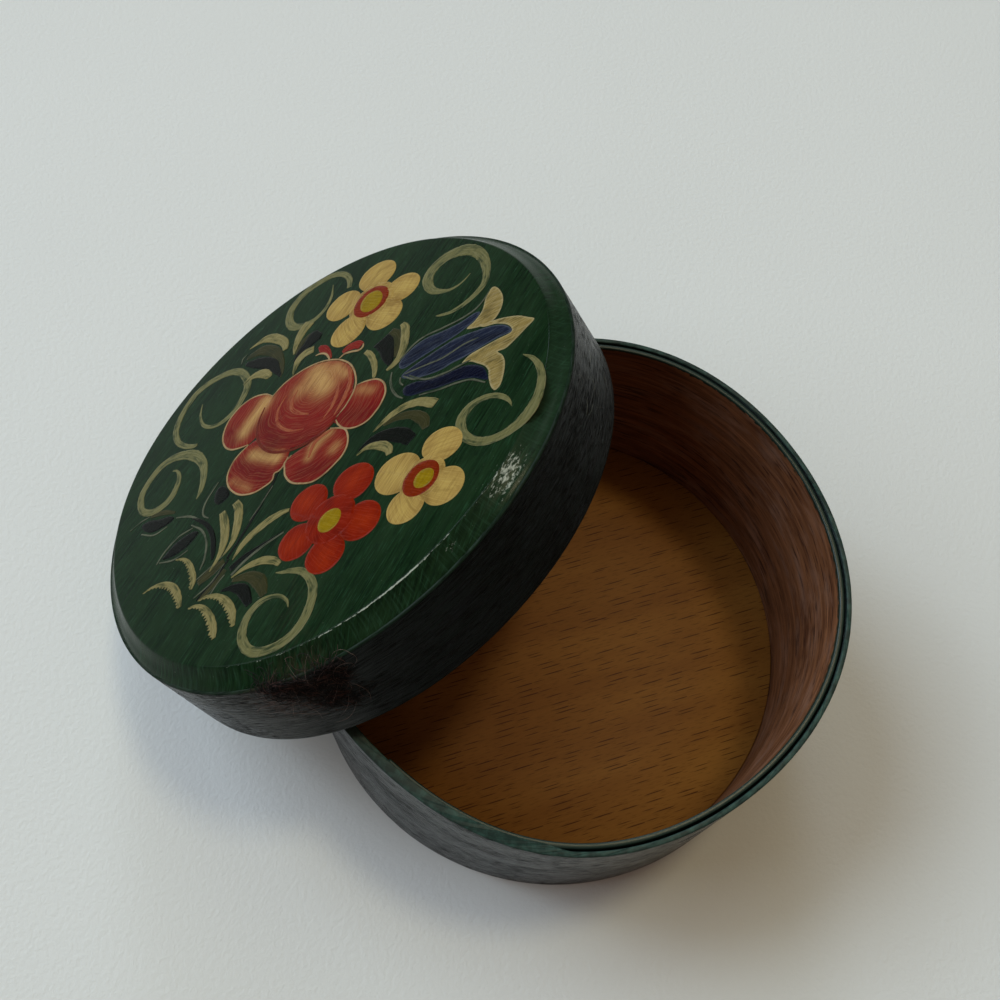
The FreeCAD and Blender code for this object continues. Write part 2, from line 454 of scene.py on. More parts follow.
def oiled_beech(name):
    """Beech, turned flat, sanded and oiled: orange brown with short dark rays along the grain."""
    made, tree, shader = new_material(name)
    place = add(tree, "TexCoord").outputs["Object"]
    turned = add(tree, "VectorRotate", {"rotation_type": "Z_AXIS"}, Vector=place,
                 Angle=math.radians(-GRAIN_TURN))
    broad = pattern(tree, turned, (70, 9), 3, unit=1000)
    fibre = pattern(tree, turned, (14, 0.35), 3, 0.7, unit=1000)

    def cells(along_mm, across_mm, even):
        """Scattered points, one to a cell of the grain, for the rays."""
        reach = (1000 / along_mm, 1000 / across_mm, 1)
        spots = add(tree, "VectorMath", {"operation": "MULTIPLY"}, i0=turned, i1=reach)
        return spots, add(tree, "TexVoronoi", {"voronoi_dimensions": "2D"}, Vector=spots, Scale=1.0,
                          Randomness=even).outputs

    spots, found = cells(*RAY_CELL, 0.85)
    chance = add(tree, "SeparateColor", i0=found["Color"])
    reach = (2 * RAY_CELL[0] * MM / looks().ray_length, 2 * RAY_CELL[1] * MM / looks().ray_width, 0)
    off = add(tree, "VectorMath", {"operation": "SUBTRACT"}, i0=spots, i1=found["Position"])
    off = add(tree, "VectorMath", {"operation": "MULTIPLY"}, i0=off, i1=reach)
    off = add(tree, "VectorMath", {"operation": "LENGTH"}, i0=off).outputs["Value"]
    size = add(tree, "MapRange", i0=chance, i1=0, i2=1, i3=0.45, i4=1.15)
    ray = add(tree, "Math", {"operation": "SUBTRACT"}, i0=size, i1=off)
    small = cells(3.6, 0.5, 1.0)[1]["Distance"]
    colour = coats(tree, "beech_dark", [
        (broad, 0.35, 0.65, 1, "beech_light"), (fibre, 0.45, 0.75, 0.35, "#664016"),
        (small, 0.22, 0.08, 0.4, "#5e3711"), (ray, -0.1, 0.3, 0.9, "#431f0a"),
    ])
    surface(tree, shader, colour, 0.6, fibre, 0.5, 0.00005, IOR=1.3)
    return made


def bare_stained_ply(name):
    """Beech ply, steamed and bent, left bare: red brown, with long streaks and age stains."""
    made, tree, shader = new_material(name)
    grain = add(tree, "Attribute", {"attribute_name": "grain"}).outputs["Vector"]
    lap = add(tree, "Attribute", {"attribute_name": "lap"}).outputs["Fac"]
    streak = pattern(tree, grain, (22, 1.6), 4, 0.65)
    fine = pattern(tree, grain, (9, 0.3), 2)
    stain = pattern(tree, grain, (26, 12), 5, 0.7)
    dust = pattern(tree, grain, (15, 5), 5, 0.7)
    marks = pattern(tree, grain, (7, 0.6), 3, 0.6)
    marks = add(tree, "Math", {"operation": "MULTIPLY_ADD"}, i0=stain, i1=0.5, i2=marks)
    # The rim's paint laps over the inner ply with a ragged lower edge.
    ragged = pattern(tree, grain, (1.6, 0.5), 3)
    ragged = add(tree, "MapRange", i0=ragged, i1=0.3, i2=0.7, i3=-0.55, i4=0.55)
    painted = add(tree, "Math", {"operation": "ADD"}, i0=lap, i1=ragged)
    painted = add(tree, "MapRange", i0=painted, i1=0.05, i2=-0.05)
    satin = add(tree, "MapRange", i0=painted, i1=0, i2=1, i3=0.62, i4=0.3)
    colour = coats(tree, "ply_dark", [
        (streak, 0.35, 0.68, 1, "ply_light"), (fine, 0.5, 0.75, 0.5, "#422515"),
        (stain, 0.55, 0.75, 0.55, "#451f13"), (dust, 0.48, 0.72, 0.55, "#977866"),
        (marks, 0.79, 0.9, 0.8, "#2c140d"), (painted, "rim_green"),
    ])
    surface(tree, shader, colour, satin, streak, 0.6, 0.00008, IOR=1.35)
    return made


def felted(tree, grain, sizes, depth, scuff):
    """Where the brown felt of a scuff lies: noise of its tufts, held to the scuffed place."""
    tufts = pattern(tree, grain, sizes, 4, depth=depth)
    tufts = add(tree, "MapRange", i0=tufts, i1=0.42, i2=0.6)
    return add(tree, "Math", {"operation": "MULTIPLY"}, i0=tufts, i1=scuff)


def green_on_grain(rim, rim_light, paler_tone, gloss):
    """Dark green oil paint, thin over open grain: it is nearly black, with a grey sheen on the ridges painted
    into its colour.
    """

    def make(name):
        made, tree, shader = new_material(name)
        grain = add(tree, "Attribute", {"attribute_name": "grain"}).outputs["Vector"]
        scuff = add(tree, "Attribute", {"attribute_name": "scuff"}).outputs["Fac"]
        zone = add(tree, "SeparateXYZ", i0=grain).outputs[2]
        streak = pattern(tree, grain, (11, 0.55), 4, 0.65, 0)
        patch = pattern(tree, grain, (20, 6), 3, depth=0)
        # The pores are drawn 0.2 mm wide, twice the real ones, and gather where the paint has flaked.
        pores = pattern(tree, grain, (2.8, 0.2), 3, 0.6, 0)
        flaked = pattern(tree, grain, (14, 7), 3, depth=0)
        pores = add(tree, "Math", {"operation": "MULTIPLY_ADD"}, i0=flaked, i1=0.35, i2=pores)
        pores = add(tree, "MapRange", i0=pores, i1=0.7, i2=0.77)
        tone = add(tree, "MapRange", i0=streak, i1=0.4, i2=0.7)
        top = add(tree, "Math", {"operation": "COMPARE"}, i0=zone, i1=1.0, i2=0.6)
        place = add(tree, "TexCoord").outputs["Object"]
        blotch = add(tree, "TexNoise", Vector=place, Scale=450.0, Detail=4.0, Roughness=0.7)
        edge = coats(tree, rim, [(blotch, 0.42, 0.7, 1, rim_light)])
        # The paler tone on the streak ridges is painted sheen: a grey that stands in for the gloss's
        # reflection.
        colour = coats(tree, "band_green", [
            (tone, "#0a110c"), (patch, 0.55, 0.75, 0.3, "#152118"), (tone, paler_tone),
            (pores, "#040605"), (top, edge),
            (felted(tree, grain, (1.5, 0.4), 0, scuff), FIBRE_BROWN),
        ])
        satin = add(tree, "MapRange", i0=streak, i1=0.35, i2=0.7, i3=0.2, i4=0.36)
        satin = add(tree, "Math", {"operation": "MULTIPLY_ADD"}, i0=top, i1=0.25, i2=satin)
        satin = add(tree, "Math", {"operation": "MULTIPLY_ADD"}, i0=pores, i1=0.5, i2=satin)
        height = add(tree, "Math", {"operation": "MULTIPLY_ADD"}, i0=pores, i1=-0.5, i2=streak)
        surface(tree, shader, colour, satin, height, 0.8, 0.00014, IOR=1.4, Specular_IOR_Level=gloss)
        return made

    return make


def green_on_disc(name):
    """Green oil paint brushed on a turned disc: satin, with long brush streaks, paint rubbed off the edge and
    a painted glint on the bevel.
    """
    made, tree, shader = new_material(name)
    place = add(tree, "Attribute", {"attribute_name": "grain"}).outputs["Vector"]
    edge = add(tree, "Attribute", {"attribute_name": "edge"}).outputs["Vector"]
    scuff = add(tree, "Attribute", {"attribute_name": "scuff"}).outputs["Fac"]
    from_edge, round_mm, wear_and_glint = add(tree, "SeparateXYZ", i0=edge).outputs
    hairs = pattern(tree, place, (0.35, 11), 4, 0.6, DISC_DEPTH)
    broad = pattern(tree, place, (5, 24), 3, depth=DISC_DEPTH)
    dents = pattern(tree, place, (1.6, 2.4), 4, 0.75, DISC_DEPTH)
    fine = pattern(tree, place, (0.2, 3.2), 2, 0.6, DISC_DEPTH)
    # A paler green laid on the bevel from about -20 to 45 degrees round, strongest near 10 to 16 degrees.
    on_bevel = add(tree, "MapRange", i0=from_edge, i1=0, i2=0.4)
    right_side = add(tree, "MapRange", i0=round_mm, i1=-18, i2=8, i3=0, i4=0.75)
    far_side = add(tree, "MapRange", i0=round_mm, i1=14, i2=40, i3=1, i4=0.25)
    paler_tone = add(tree, "Math", {"operation": "MULTIPLY"}, i0=right_side, i1=on_bevel)
    paler_tone = add(tree, "Math", {"operation": "MULTIPLY"}, i0=paler_tone, i1=far_side)
    radial = pattern(tree, edge, (3.5, 0.45), 3, 0.6, DISC_DEPTH)
    radial = add(tree, "MapRange", i0=radial, i1=0.5, i2=0.72, i3=0, i4=0.42)
    radial = add(tree, "Math", {"operation": "MULTIPLY"}, i0=radial, i1=on_bevel)
    # The pale mark is paint rubbed off along the edge, and a painted glint: pale specks on the bevel.
    pale_wear_and_glint = pattern(tree, edge, (0.3, 1.3), 4, 0.7, DISC_DEPTH)
    pale_wear_and_glint = add(tree, "Math", {"operation": "MULTIPLY_ADD"}, i0=pale_wear_and_glint, i1=0.9, i2=-0.62)
    pale_wear_and_glint = add(tree, "Math", {"operation": "ADD"}, i0=pale_wear_and_glint, i1=wear_and_glint)
    colour = coats(tree, "lid_green", [
        (hairs, 0.4, 0.66, 1, "#142814"), (broad, 0.4, 0.7, 0.6, "#192c17"), (paler_tone, "#1f3222"),
        (dents, 0.56, 0.7, 0.55, "#07120a"), (fine, 0.57, 0.7, 0.42, "#27462f"), (radial, "#2b4532"),
        (pale_wear_and_glint, 0, 0.12, 1, "#a3aa9a"), (felted(tree, place, (0.4, 1.5), DISC_DEPTH, scuff), FIBRE_BROWN),
    ])
    satin = add(tree, "MapRange", i0=broad, i1=0.35, i2=0.7, i3=0.16, i4=0.28)
    surface(tree, shader, colour, satin, hairs, 0.5, 0.00004, IOR=1.45, Specular_IOR_Level=0.06)
    return made


FINISHES = {
    # The table the box stands on; its even grey carries the shadows.
    "table_laminate_matt": matt_laminate,
    # Sanded and oiled beech: the warm orange floor with its dark rays.
    "beech_floor_turned_and_oiled": oiled_beech,
    # Bare steamed beech ply: the red brown inside, with streaks, stains and dust.
    "beech_ply_bent_bare_and_stained": bare_stained_ply,
    # Thin oil paint over open grain: the grey sheen painted on its ridges and the dark pores of the box's
    # wall.
    "box_wall_dark_green_paint_on_open_grain": green_on_grain("rim_green", "#304b41", "#404d4d", 0.38),
    # The same paint on the lid's band, in its own shade: almost black, with a fainter painted sheen.
    "lid_skirt_dark_green_paint_on_open_grain": green_on_grain("#0d1b10", "#172a1a", "#08120c", 0.15),
    # Brushed oil paint on the turned disc: deep green with streaks, paint rubbed off the edge and a painted
    # glint on the bevel.
    "lid_top_green_paint_on_turned_disc": green_on_disc,
    # Fibres torn from the ply where it is scuffed: the dark felted patch.
    "torn_fibre_dark": torn_fibre("#0c0908", "#1c1512"),
    # Unpainted ends of the torn fibres: the red brown threads.
    "torn_fibre_red_brown": torn_fibre("#2b1d19", "#513832"),
    # Longest fibres, dried out: the pinkish grey hairs over the patch.
    "torn_fibre_pink_grey": torn_fibre("#5a4742", "#86736b"),
    # Dry fibres on the band: the few pale threads.
    "torn_fibre_pale": torn_fibre("#5c6056", "#7a7f73"),
    # Dry brush of pale green: lets the ground show between the bristle marks.
    "cream_green_scroll_paint": brushed_paint("scroll_green", "#76724f", "#3f432a", 0, 0.75, 0.6),
    # Full strokes of cream ochre: a little thicker, streaked.
    "cream_stroke_paint": brushed_paint("#6c633d", "#8c8054", "#454524", 0, 0.6, 0.65),
    # Thick cream: the two bright flowers, browner in the notches.
    "cream_petal_paint": brushed_paint("petal_cream", "#a88f4c", "#664a20", 0.2, 0, 0.65),
    # Orange red line around the cream flowers' middles.
    "orange_red_ring_paint": brushed_paint("#661d03", "#802e09", "#4f1202", 0, 0, 0.4),
    # Thick ochre yellow dot in each flower.
    "yellow_centre_paint": brushed_paint("#796106", "#8c7711", "#594403", 0, 0, 0.5),
    # Thin orange red glaze: the loudest colour of the lid.
    "orange_red_petal_paint": brushed_paint("petal_red", "#8a2702", "#520700", 0.2, 0, 0.4),
    # Crimson with cream worked in wet: the rounded shading of the rose.
    "red_rose_paint": brushed_paint("rose_red", "#a3804c", "#4a0306", 0, 0, 0.22),
    # Dark red line: the shadow under the rose's ball.
    "dark_red_line_paint": brushed_paint("#561b0e", "#6a2a18", "#3c0f08", 0, 0, 0.4),
    # Pale red arcs: the folds of the rose.
    "pale_rose_line_paint": brushed_paint("#7f4128", "#93603c", "#6d241a", 0, 0, 0.6),
    # Cream line: the outline of the rose's petals.
    "cream_line_paint": brushed_paint("#8a7350", "#a08b66", "#6c3f2c", 0, 0.2, 0.6),
    # Black green: the leaves that sink into the ground.
    "black_green_leaf_paint": brushed_paint("#070906", "#14160f", "#020302", 0, 0.1, 0.4),
    # Olive, thin: the leaves' lighter halves.
    "olive_leaf_paint": brushed_paint("#2c2b15", "#3c3820", "#1c1e0d", 0, 0.2, 0.6),
    # Grey line, thin: stems and the tulip's veins.
    "grey_line_paint": brushed_paint("#47493a", "#646752", "#2a2d24", 0, 0.6, 0.65),
    # Blue with grey worked in: the tulip's lobes.
    "blue_lobe_paint": brushed_paint("tulip_blue", "#3f4650", "#030512", 0.5, 0, 0.7),
    # Blue black: the tulip's lower lobe.
    "dark_blue_lobe_paint": brushed_paint("#020418", "#1e2636", "#010209", 0.3, 0, 0.4),
    # Cream green: the tulip's tips.
    "cream_tip_paint": brushed_paint("#796738", "#978b66", "#4d3f1d", 0.5, 0.3, 0.75),
}


# The painting as thin raised films


def spline_points(points, step, closed=False):
    """A smooth line through the given rows, with points about `step` apart."""
    p = np.array(points, float)
    n = len(p)
    ends = (p[-1:], p, p[:2]) if closed else (2 * p[:1] - p[1:2], p, 2 * p[-1:] - p[-2:-1])
    p = np.vstack(ends)
    out = []
    for i in range(n if closed else n - 1):
        a, b, c, d = p[i : i + 4]
        count = max(2, int(math.ceil(np.linalg.norm((c - b)[:2]) / step)))
        for t in np.arange(count) / count:
            cubic = (3 * b - 3 * c + d - a) * t**3
            out.append((2 * b + (c - a) * t + (2 * a - 5 * b + 4 * c - d) * t * t + cubic) / 2)
    if not closed:
        out.append(p[-2])
    return np.array(out)


def distance_to(points, line):
    """Distance of each point to a line of short pieces."""
    best = np.full(len(points), 1e9)
    for a, b in zip(line[:-1], line[1:]):
        d = b - a
        t = np.clip(((points - a) @ d) / max(d @ d, 1e-12), 0, 1)
        best = np.minimum(best, np.linalg.norm(points - a - t[:, None] * d, axis=1))
    return best


def inside(points, outline):
    """Which points lie inside a closed outline."""
    hit = np.zeros(len(points), bool)
    x, y = points[:, 0], points[:, 1]
    for a, b in zip(outline, np.roll(outline, -1, axis=0)):
        crosses = (a[1] > y) != (b[1] > y)
        at = a[0] + (b[0] - a[0]) * (y - a[1]) / (b[1] - a[1] if b[1] != a[1] else 1e-12)
        hit ^= crosses & (x < at)
    return hit


def glow(points, dabs):
    """Soft dabs of another colour: rows of line start, line end, radius and strength."""
    left = np.ones(len(points))
    for x0, y0, x1, y1, radius, strength in dabs:
        d = distance_to(points, np.array([(x0, y0), (x1, y1)], float))
        left *= 1 - strength * bell(d, 0, radius)
    return 1 - left


# In millimetres: how deep a film reaches into the board, how wide its rounded edge is, how far apart its
# points are, and how long a comb's tooth is.
FILM_FOOT, FILM_EDGE, FILM_POINTS, TOOTH = 0.05, 0.12, 0.6, 0.95
# A stroke's section: place across as a share of its half width, and lift; below zero it is in the board.
STROKE_SECTION = ((-1, -1), (-0.93, 0.7), (-0.7, 1), (-0.35, 0.75), (0, 0.9), (0.35, 0.75), (0.7, 1),
                  (0.93, 0.7), (1, -1))


class Painting:
    """Gathers strokes and shapes of one paint into one piece."""

    def __init__(self):
        self.verts, self.faces, self.grain, self.tone = [], [], [], []

    def take(self, verts, faces, grain, tone):
        """Adds a stroke or a shape to the piece."""
        start = len(self.verts)
        self.verts.extend(verts)
        self.faces.extend([tuple(start + i for i in f) for f in faces])
        self.grain.extend(grain)
        self.tone.extend(tone)

    def stroke(self, points, height, comb=0.0):
        """A brush stroke along a row of (x, y, width); a comb leaves teeth on its right side."""
        height = height * looks().film
        line = spline_points(points, 0.14 if comb else 0.3)
        seed = len(self.verts) * 0.37
        middle = line[:, :2]
        tangent = np.gradient(middle, axis=0)
        tangent /= np.linalg.norm(tangent, axis=1)[:, None]
        normal = np.stack([-tangent[:, 1], tangent[:, 0]], 1)
        gone = np.concatenate([[0], np.cumsum(np.linalg.norm(np.diff(middle, axis=0), axis=1))])
        verts, grain = [], []
        for i, (x, y) in enumerate(middle):
            half = max(line[i, 2], 0.1) / 2
            for v, lift in STROKE_SECTION:
                edge = 1 + 0.1 * noise(Vector((gone[i] / 0.9, v * 2, seed)))
                if comb and v < 0:
                    tooth = gone[i] / TOOTH + 0.5 * noise(Vector((gone[i], seed, 1)))
                    edge *= 1.15 - comb * abs(2 * (tooth % 1) - 1)
                across = half * v * edge
                ridge = 0.2 * noise(Vector((gone[i] / 5, across / 0.25, seed))) * height
                z = LID_HEIGHT - FILM_FOOT if lift < 0 else LID_HEIGHT + height * lift + ridge
                verts.append((x + normal[i, 0] * across, y + normal[i, 1] * across, z))
                grain.append((gone[i], across, seed))
        self.take(verts, ring_faces(len(middle), len(STROKE_SECTION)), grain, [(0, 0, 1)] * len(verts))

    def shape(self, outline, height, flow=None, light=(), dark=(), smoothed=True):
        """A filled shape; flow gives the brush's (along, across) at a point."""
        height = height * looks().film
        edge = spline_points(outline, 0.35, True) if smoothed else np.array(outline, float)
        area = np.sum(edge[:, 0] * np.roll(edge[:, 1], -1) - np.roll(edge[:, 0], -1) * edge[:, 1])
        if area < 0:
            edge = edge[::-1]
        seed = len(self.verts) * 0.37
        ahead = np.roll(edge, -1, axis=0) - np.roll(edge, 1, axis=0)
        ahead /= np.linalg.norm(ahead, axis=1)[:, None]
        inner = edge + (FILM_EDGE + 0.01) * np.stack([-ahead[:, 1], ahead[:, 0]], 1)
        low, high = edge.min(0), edge.max(0)
        xs = np.arange(low[0], high[0], FILM_POINTS)
        ys = np.arange(low[1], high[1], FILM_POINTS * 0.87)
        grid = np.array([(x + (FILM_POINTS / 2 if j % 2 else 0), y) for j, y in enumerate(ys) for x in xs])
        ring = np.vstack([edge, edge[:1]])
        inner = inner[inside(inner, edge) & (distance_to(inner, ring) > 0.1)]
        grid = grid[inside(grid, edge) & (distance_to(grid, ring) > 0.32)]
        flat = [Vector(p) for p in np.vstack([edge, inner, grid])]
        got, _, faces, *_ = delaunay_2d_cdt(flat, [], [list(range(len(edge)))], 1, 1e-6)
        flat = np.array([tuple(p) for p in got])
        away = distance_to(flat, ring)
        rise = smooth(0, FILM_EDGE, away)
        ridges = np.array([noise(Vector((x / 0.6, y / 0.6, seed))) for x, y in flat])
        top = LID_HEIGHT + height * (rise * (0.9 + 0.15 * ridges)) - 0.01 * (1 - rise)
        n = len(flat)
        verts = [(x, y, z) for (x, y), z in zip(flat, top)]
        verts += [(x, y, LID_HEIGHT - FILM_FOOT) for x, y in flat]
        sides = {}
        made = []
        for f in faces:
            made.append(tuple(f))
            made.append(tuple(n + i for i in reversed(f)))
            sides.update(dict.fromkeys(zip(f, list(f[1:]) + [f[0]])))
        made.extend([(a, n + a, n + b, b) for a, b in sides if (b, a) not in sides])
        along = [flow(x, y) for x, y in flat] if flow else flat
        grain = [(u, v, seed) for u, v in along] * 2
        tone = np.stack([glow(flat, light), glow(flat, dark), np.minimum(away, 3)], 1).tolist() * 2
        self.take(verts, made, grain, tone)

    def piece(self, name, finish):
        """Makes the mesh, which rides on the lid."""
        made = new_piece(name, self.verts, self.faces, [material(finish)], from_lid)
        store(made, "grain", self.grain)
        store(made, "tone", self.tone)
        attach(made, "lid")


def ellipse(x, y, half_long, half_wide, turn, seed=0):
    """Outline of a hand-painted round or petal, its long side turned by `turn` degrees."""
    points, c, s = [], math.cos(math.radians(turn)), math.sin(math.radians(turn))
    for i in range(40):
        a = TURN * i / 40
        wobble = 1 + 0.03 * noise(Vector((math.cos(a) * 1.3, math.sin(a) * 1.3, seed)))
        u, v = half_long * math.cos(a) * wobble, half_wide * math.sin(a) * wobble
        points.append((x + u * c - v * s, y + u * s + v * c))
    return points


def between_petals(middle, petals, reach, radius, strength):
    """Dabs along the notches between neighbouring petals."""
    turns = sorted(math.atan2(y - middle[1], x - middle[0]) for x, y, *_ in petals)
    dabs = []
    for a, b in zip(turns, turns[1:] + [turns[0] + TURN]):
        c, s = math.cos((a + b) / 2), math.sin((a + b) / 2)
        dabs.append((middle[0] + 3.5 * c, middle[1] + 3.5 * s, middle[0] + reach * c, middle[1] + reach * s,
                     radius, strength))
    return dabs


def petal_tips(middle, petals, radius, strength):
    """Dabs on the outer halves of the petals."""
    return [(x, y, x + (x - middle[0]) * 0.2, y + (y - middle[1]) * 0.2, radius, strength)
            for x, y, *_ in petals]


def from_middle(middle):
    """Brush flow that runs out from a flower's middle."""

    def flow(x, y):
        dx, dy = x - middle[0], y - middle[1]
        r = math.hypot(dx, dy)
        return r, math.atan2(dy, dx) * r

    return flow


def around(middle):
    """Brush flow that goes round a middle."""

    def flow(x, y):
        dx, dy = x - middle[0], y - middle[1]
        r = math.hypot(dx, dy)
        return math.atan2(dy, dx) * r * 0.6, r + 0.9 * noise(Vector((x / 4, y / 4, 2)))

    return flow


# The painting on the lid, given in lid millimetres: x up the slope, y across it.
# A stroke is a row of (x, y, full width); a shape is its outline as (x, y).

SCROLLS = (
    ((-25.3, 36.9, 0.2), (-24, 35, 0.5), (-22.9, 33, 0.8), (-22.3, 30.5, 1), (-22.6, 28, 1.2),
     (-24, 26, 1.6), (-26.5, 24.7, 2), (-29, 24.7, 2.2), (-31.5, 26.3, 2.2), (-33.3, 29, 2.2),
     (-33.7, 32, 2.2), (-32.7, 35.3, 2.2), (-30.3, 38, 2), (-27.5, 39.8, 1.9), (-25, 40.2, 1.7),
     (-22.5, 39.4, 1.6), (-20.5, 37.8, 1.5), (-19.4, 36, 1.2)),
    ((13.8, 39.5, 0.2), (13.4, 37.8, 0.4), (12.6, 36.3, 0.6), (11, 35, 1), (9, 34.7, 1.4), (6.5, 35, 1.9),
     (4.2, 36.6, 2.4), (2.7, 39, 2.9), (2.8, 42, 3), (4.5, 44.6, 3.2), (7.5, 46, 3.4), (10.5, 45.8, 3),
     (13.5, 44.4, 2.6), (16, 42.2, 2.2), (18, 39.5, 1.8), (19.1, 36.8, 1.6), (18.7, 34, 1.5),
     (17.4, 31.4, 1.3), (15.4, 29.4, 1), (13.2, 28.5, 0.7), (12.1, 28.3, 0.2)),
    ((43.3, 8.7, 0.1), (42, 9.8, 0.7), (40.2, 10.5, 1.1), (38.2, 10.6, 1.3), (36.2, 9.9, 1.5),
     (34.6, 8.3, 1.8), (34.1, 6.2, 2.2), (34.7, 4, 2.2), (36.4, 2.2, 2.1), (39, 1.2, 2), (41.6, 1.2, 2),
     (44.2, 2.4, 2), (46.2, 4.6, 2.2), (47.3, 7.2, 2.5), (47.4, 10, 2.3), (46.9, 12.7, 1.9),
     (45.6, 15.5, 1.6), (43.6, 17.8, 1.3), (41.4, 19.2, 0.9), (39, 19.8, 0.2)),
    ((-40.3, 2, 0.2), (-38, -1, 0.6), (-35, -3, 0.9), (-32, -3.3, 1.1), (-29.5, -2, 1.3), (-28, 1, 1.6),
     (-28.3, 4.5, 1.8), (-29.5, 7.8, 2), (-32, 10, 2), (-35.5, 11.4, 2.1), (-39, 11, 2), (-42.5, 8.8, 2),
     (-45, 5.5, 2), (-45.4, 2, 1.9), (-44.6, -2, 1.8), (-42.5, -5.7, 1.7), (-39.3, -8, 1.5),
     (-35.8, -8.8, 1.4), (-33, -8.5, 1.2), (-32.1, -7.9, 0.8)),
    ((-33.7, -15, 0.3), (-32.5, -14.8, 0.6), (-30.8, -15.6, 1), (-29.2, -17.5, 1.4), (-28.2, -20.5, 1.9),
     (-28.6, -22.8, 2), (-30.5, -24.8, 1.9), (-33.5, -25.3, 1.7), (-36, -24, 1.8), (-38.2, -21.5, 1.8),
     (-39, -18, 1.9), (-38.6, -14.5, 2.1), (-36.5, -12, 2.4), (-33.5, -10.8, 2.6), (-30.5, -10.6, 2.8),
     (-27.5, -11.3, 2.4), (-24.5, -13, 2), (-22, -15.8, 1.6), (-20.6, -18, 1.2), (-20, -20, 0.3)),
    ((22.2, -35.2, 0.2), (21, -34.2, 0.6), (19, -33.8, 0.8), (17, -34.3, 1), (15.2, -35.7, 1.4),
     (14.4, -38, 1.7), (14.9, -40.5, 1.9), (16.6, -42.7, 2), (19.3, -43.9, 2), (22, -43.7, 1.9),
     (24.5, -42.2, 1.9), (26.4, -40, 2), (27.2, -37, 2.1), (26.6, -33.8, 2), (25, -31, 1.9),
     (22.5, -29.2, 1.7), (20, -28.6, 1.5), (17.5, -29, 1.1), (15.8, -29.7, 0.7), (14.3, -30.1, 0.2)),
)

CREAM_STROKES = (
    ((-24.2, 26, 3.2), (-24.3, 23, 2.7), (-23.2, 19.5, 1.6), (-21.8, 17, 0.4)),
    ((-16.7, 18.8, 2.2), (-18.4, 17.5, 2.4), (-19, 15.5, 2), (-18, 12.8, 0.9), (-17.3, 11.5, 0.2)),
    ((-38, 17.8, 0.3), (-36.5, 19.6, 1.2), (-34.8, 21, 2.4), (-32, 21.2, 2.7), (-29, 20.6, 2.4),
     (-27, 19.6, 2), (-25.7, 18.2, 1.4)),
    ((-31.1, 8, 0.6), (-30, 10.5, 1.8), (-27.5, 11.5, 2.6), (-25, 11, 2), (-24.3, 10.7, 1)),
    ((4.3, 26.2, 1.2), (5.8, 25.2, 2), (7.4, 23, 2.1), (8.8, 20.5, 2), (9.6, 18, 1.8), (9.4, 16, 1.5),
     (8.6, 14.4, 0.7)),
    ((-0.7, 18.7, 1.1), (0.8, 18.2, 1.5), (2.8, 16.9, 1.5), (4.8, 15, 1.4), (6.2, 13, 0.9), (6.5, 12.4, 0.4)),
    ((15.6, 0.3, 0.3), (16.3, 2.3, 1), (17.6, 4.8, 1.6), (19.5, 6.8, 1.9), (22, 7.9, 2.1), (24.5, 8, 2.3),
     (26.1, 7.8, 2.2)),
    ((15.3, -5, 0.3), (16.3, -3.3, 1), (17.8, -2.5, 1.8), (20, -2.2, 2.2), (21.8, -2.7, 1.9),
     (22.9, -3.8, 1.2)),
    ((-8.1, -18.9, 1.6), (-6.3, -19.8, 2), (-4.3, -21.9, 2.1), (-2.5, -24.6, 1.9), (-1.5, -27, 1.2),
     (-1.5, -29.8, 0.3)),
    ((-9.8, -21.5, 1.4), (-8, -22.8, 2), (-5.5, -25, 2.1), (-3.7, -27.3, 1.9), (-2.5, -30, 1.2),
     (-2.1, -33.3, 0.3)),
    ((7.5, -18.1, 0.8), (6, -19, 1.4), (4, -21.2, 1.9), (2.5, -23.8, 1.8), (1.6, -26.5, 1.6),
     (1.6, -28.7, 0.8), (1.7, -30, 0.2)),
    ((13.9, -28.4, 1), (12, -28.1, 1.6), (9.5, -28.5, 1.8), (7.2, -29.8, 1.5), (5.5, -31.5, 0.9),
     (4.4, -33.2, 0.3)),
)

COMB_STROKES = (
    ((0, -39, 0.4), (1.5, -37.8, 0.9), (4, -37.2, 1.4), (7, -37.6, 1.9), (10, -39, 2), (12.5, -41.2, 1)),
    ((-1.2, -40.8, 0.4), (0.5, -40, 1), (3, -40.1, 1.6), (6, -41.3, 2), (8.5, -43, 1.9), (9.9, -44.2, 1)),
    ((-16, -41, 0.3), (-14.5, -39.3, 0.8), (-12, -38.2, 1.6), (-9, -38.2, 1.9), (-6, -39.5, 1.9),
     (-3.7, -41.2, 1)),
    ((-13.5, -33, 0.4), (-11.5, -32.5, 0.9), (-9.5, -32.9, 1.3), (-7, -34.2, 1.6), (-5, -35.8, 1.6),
     (-4, -37.5, 0.9)),
)

BLACK_LEAVES = (
    ((-18.7, 23.5, 3), (-19.2, 22, 4.8), (-19.6, 20, 3.3), (-20.4, 18, 2), (-20.2, 16, 1),
     (-19.8, 14.8, 0.3)),
    ((-35.5, 13.6, 1), (-31.5, 14.2, 3.3), (-27, 14.2, 3.2), (-23.5, 12.6, 2), (-21.2, 11.2, 0.6)),
    ((1.5, 21.8, 4.2), (4, 20.5, 4.2), (6.5, 18, 3.2), (8.3, 15.8, 1)),
    ((15, -4, 0.3), (16.3, -1.5, 1.6), (19, 0, 3), (22.5, 0.5, 3.6), (26, -0.3, 2.6)),
    ((4, -36, 0.4), (6.5, -34.8, 1.6), (9.5, -34.8, 2.6), (13, -36.8, 1.5)),
)

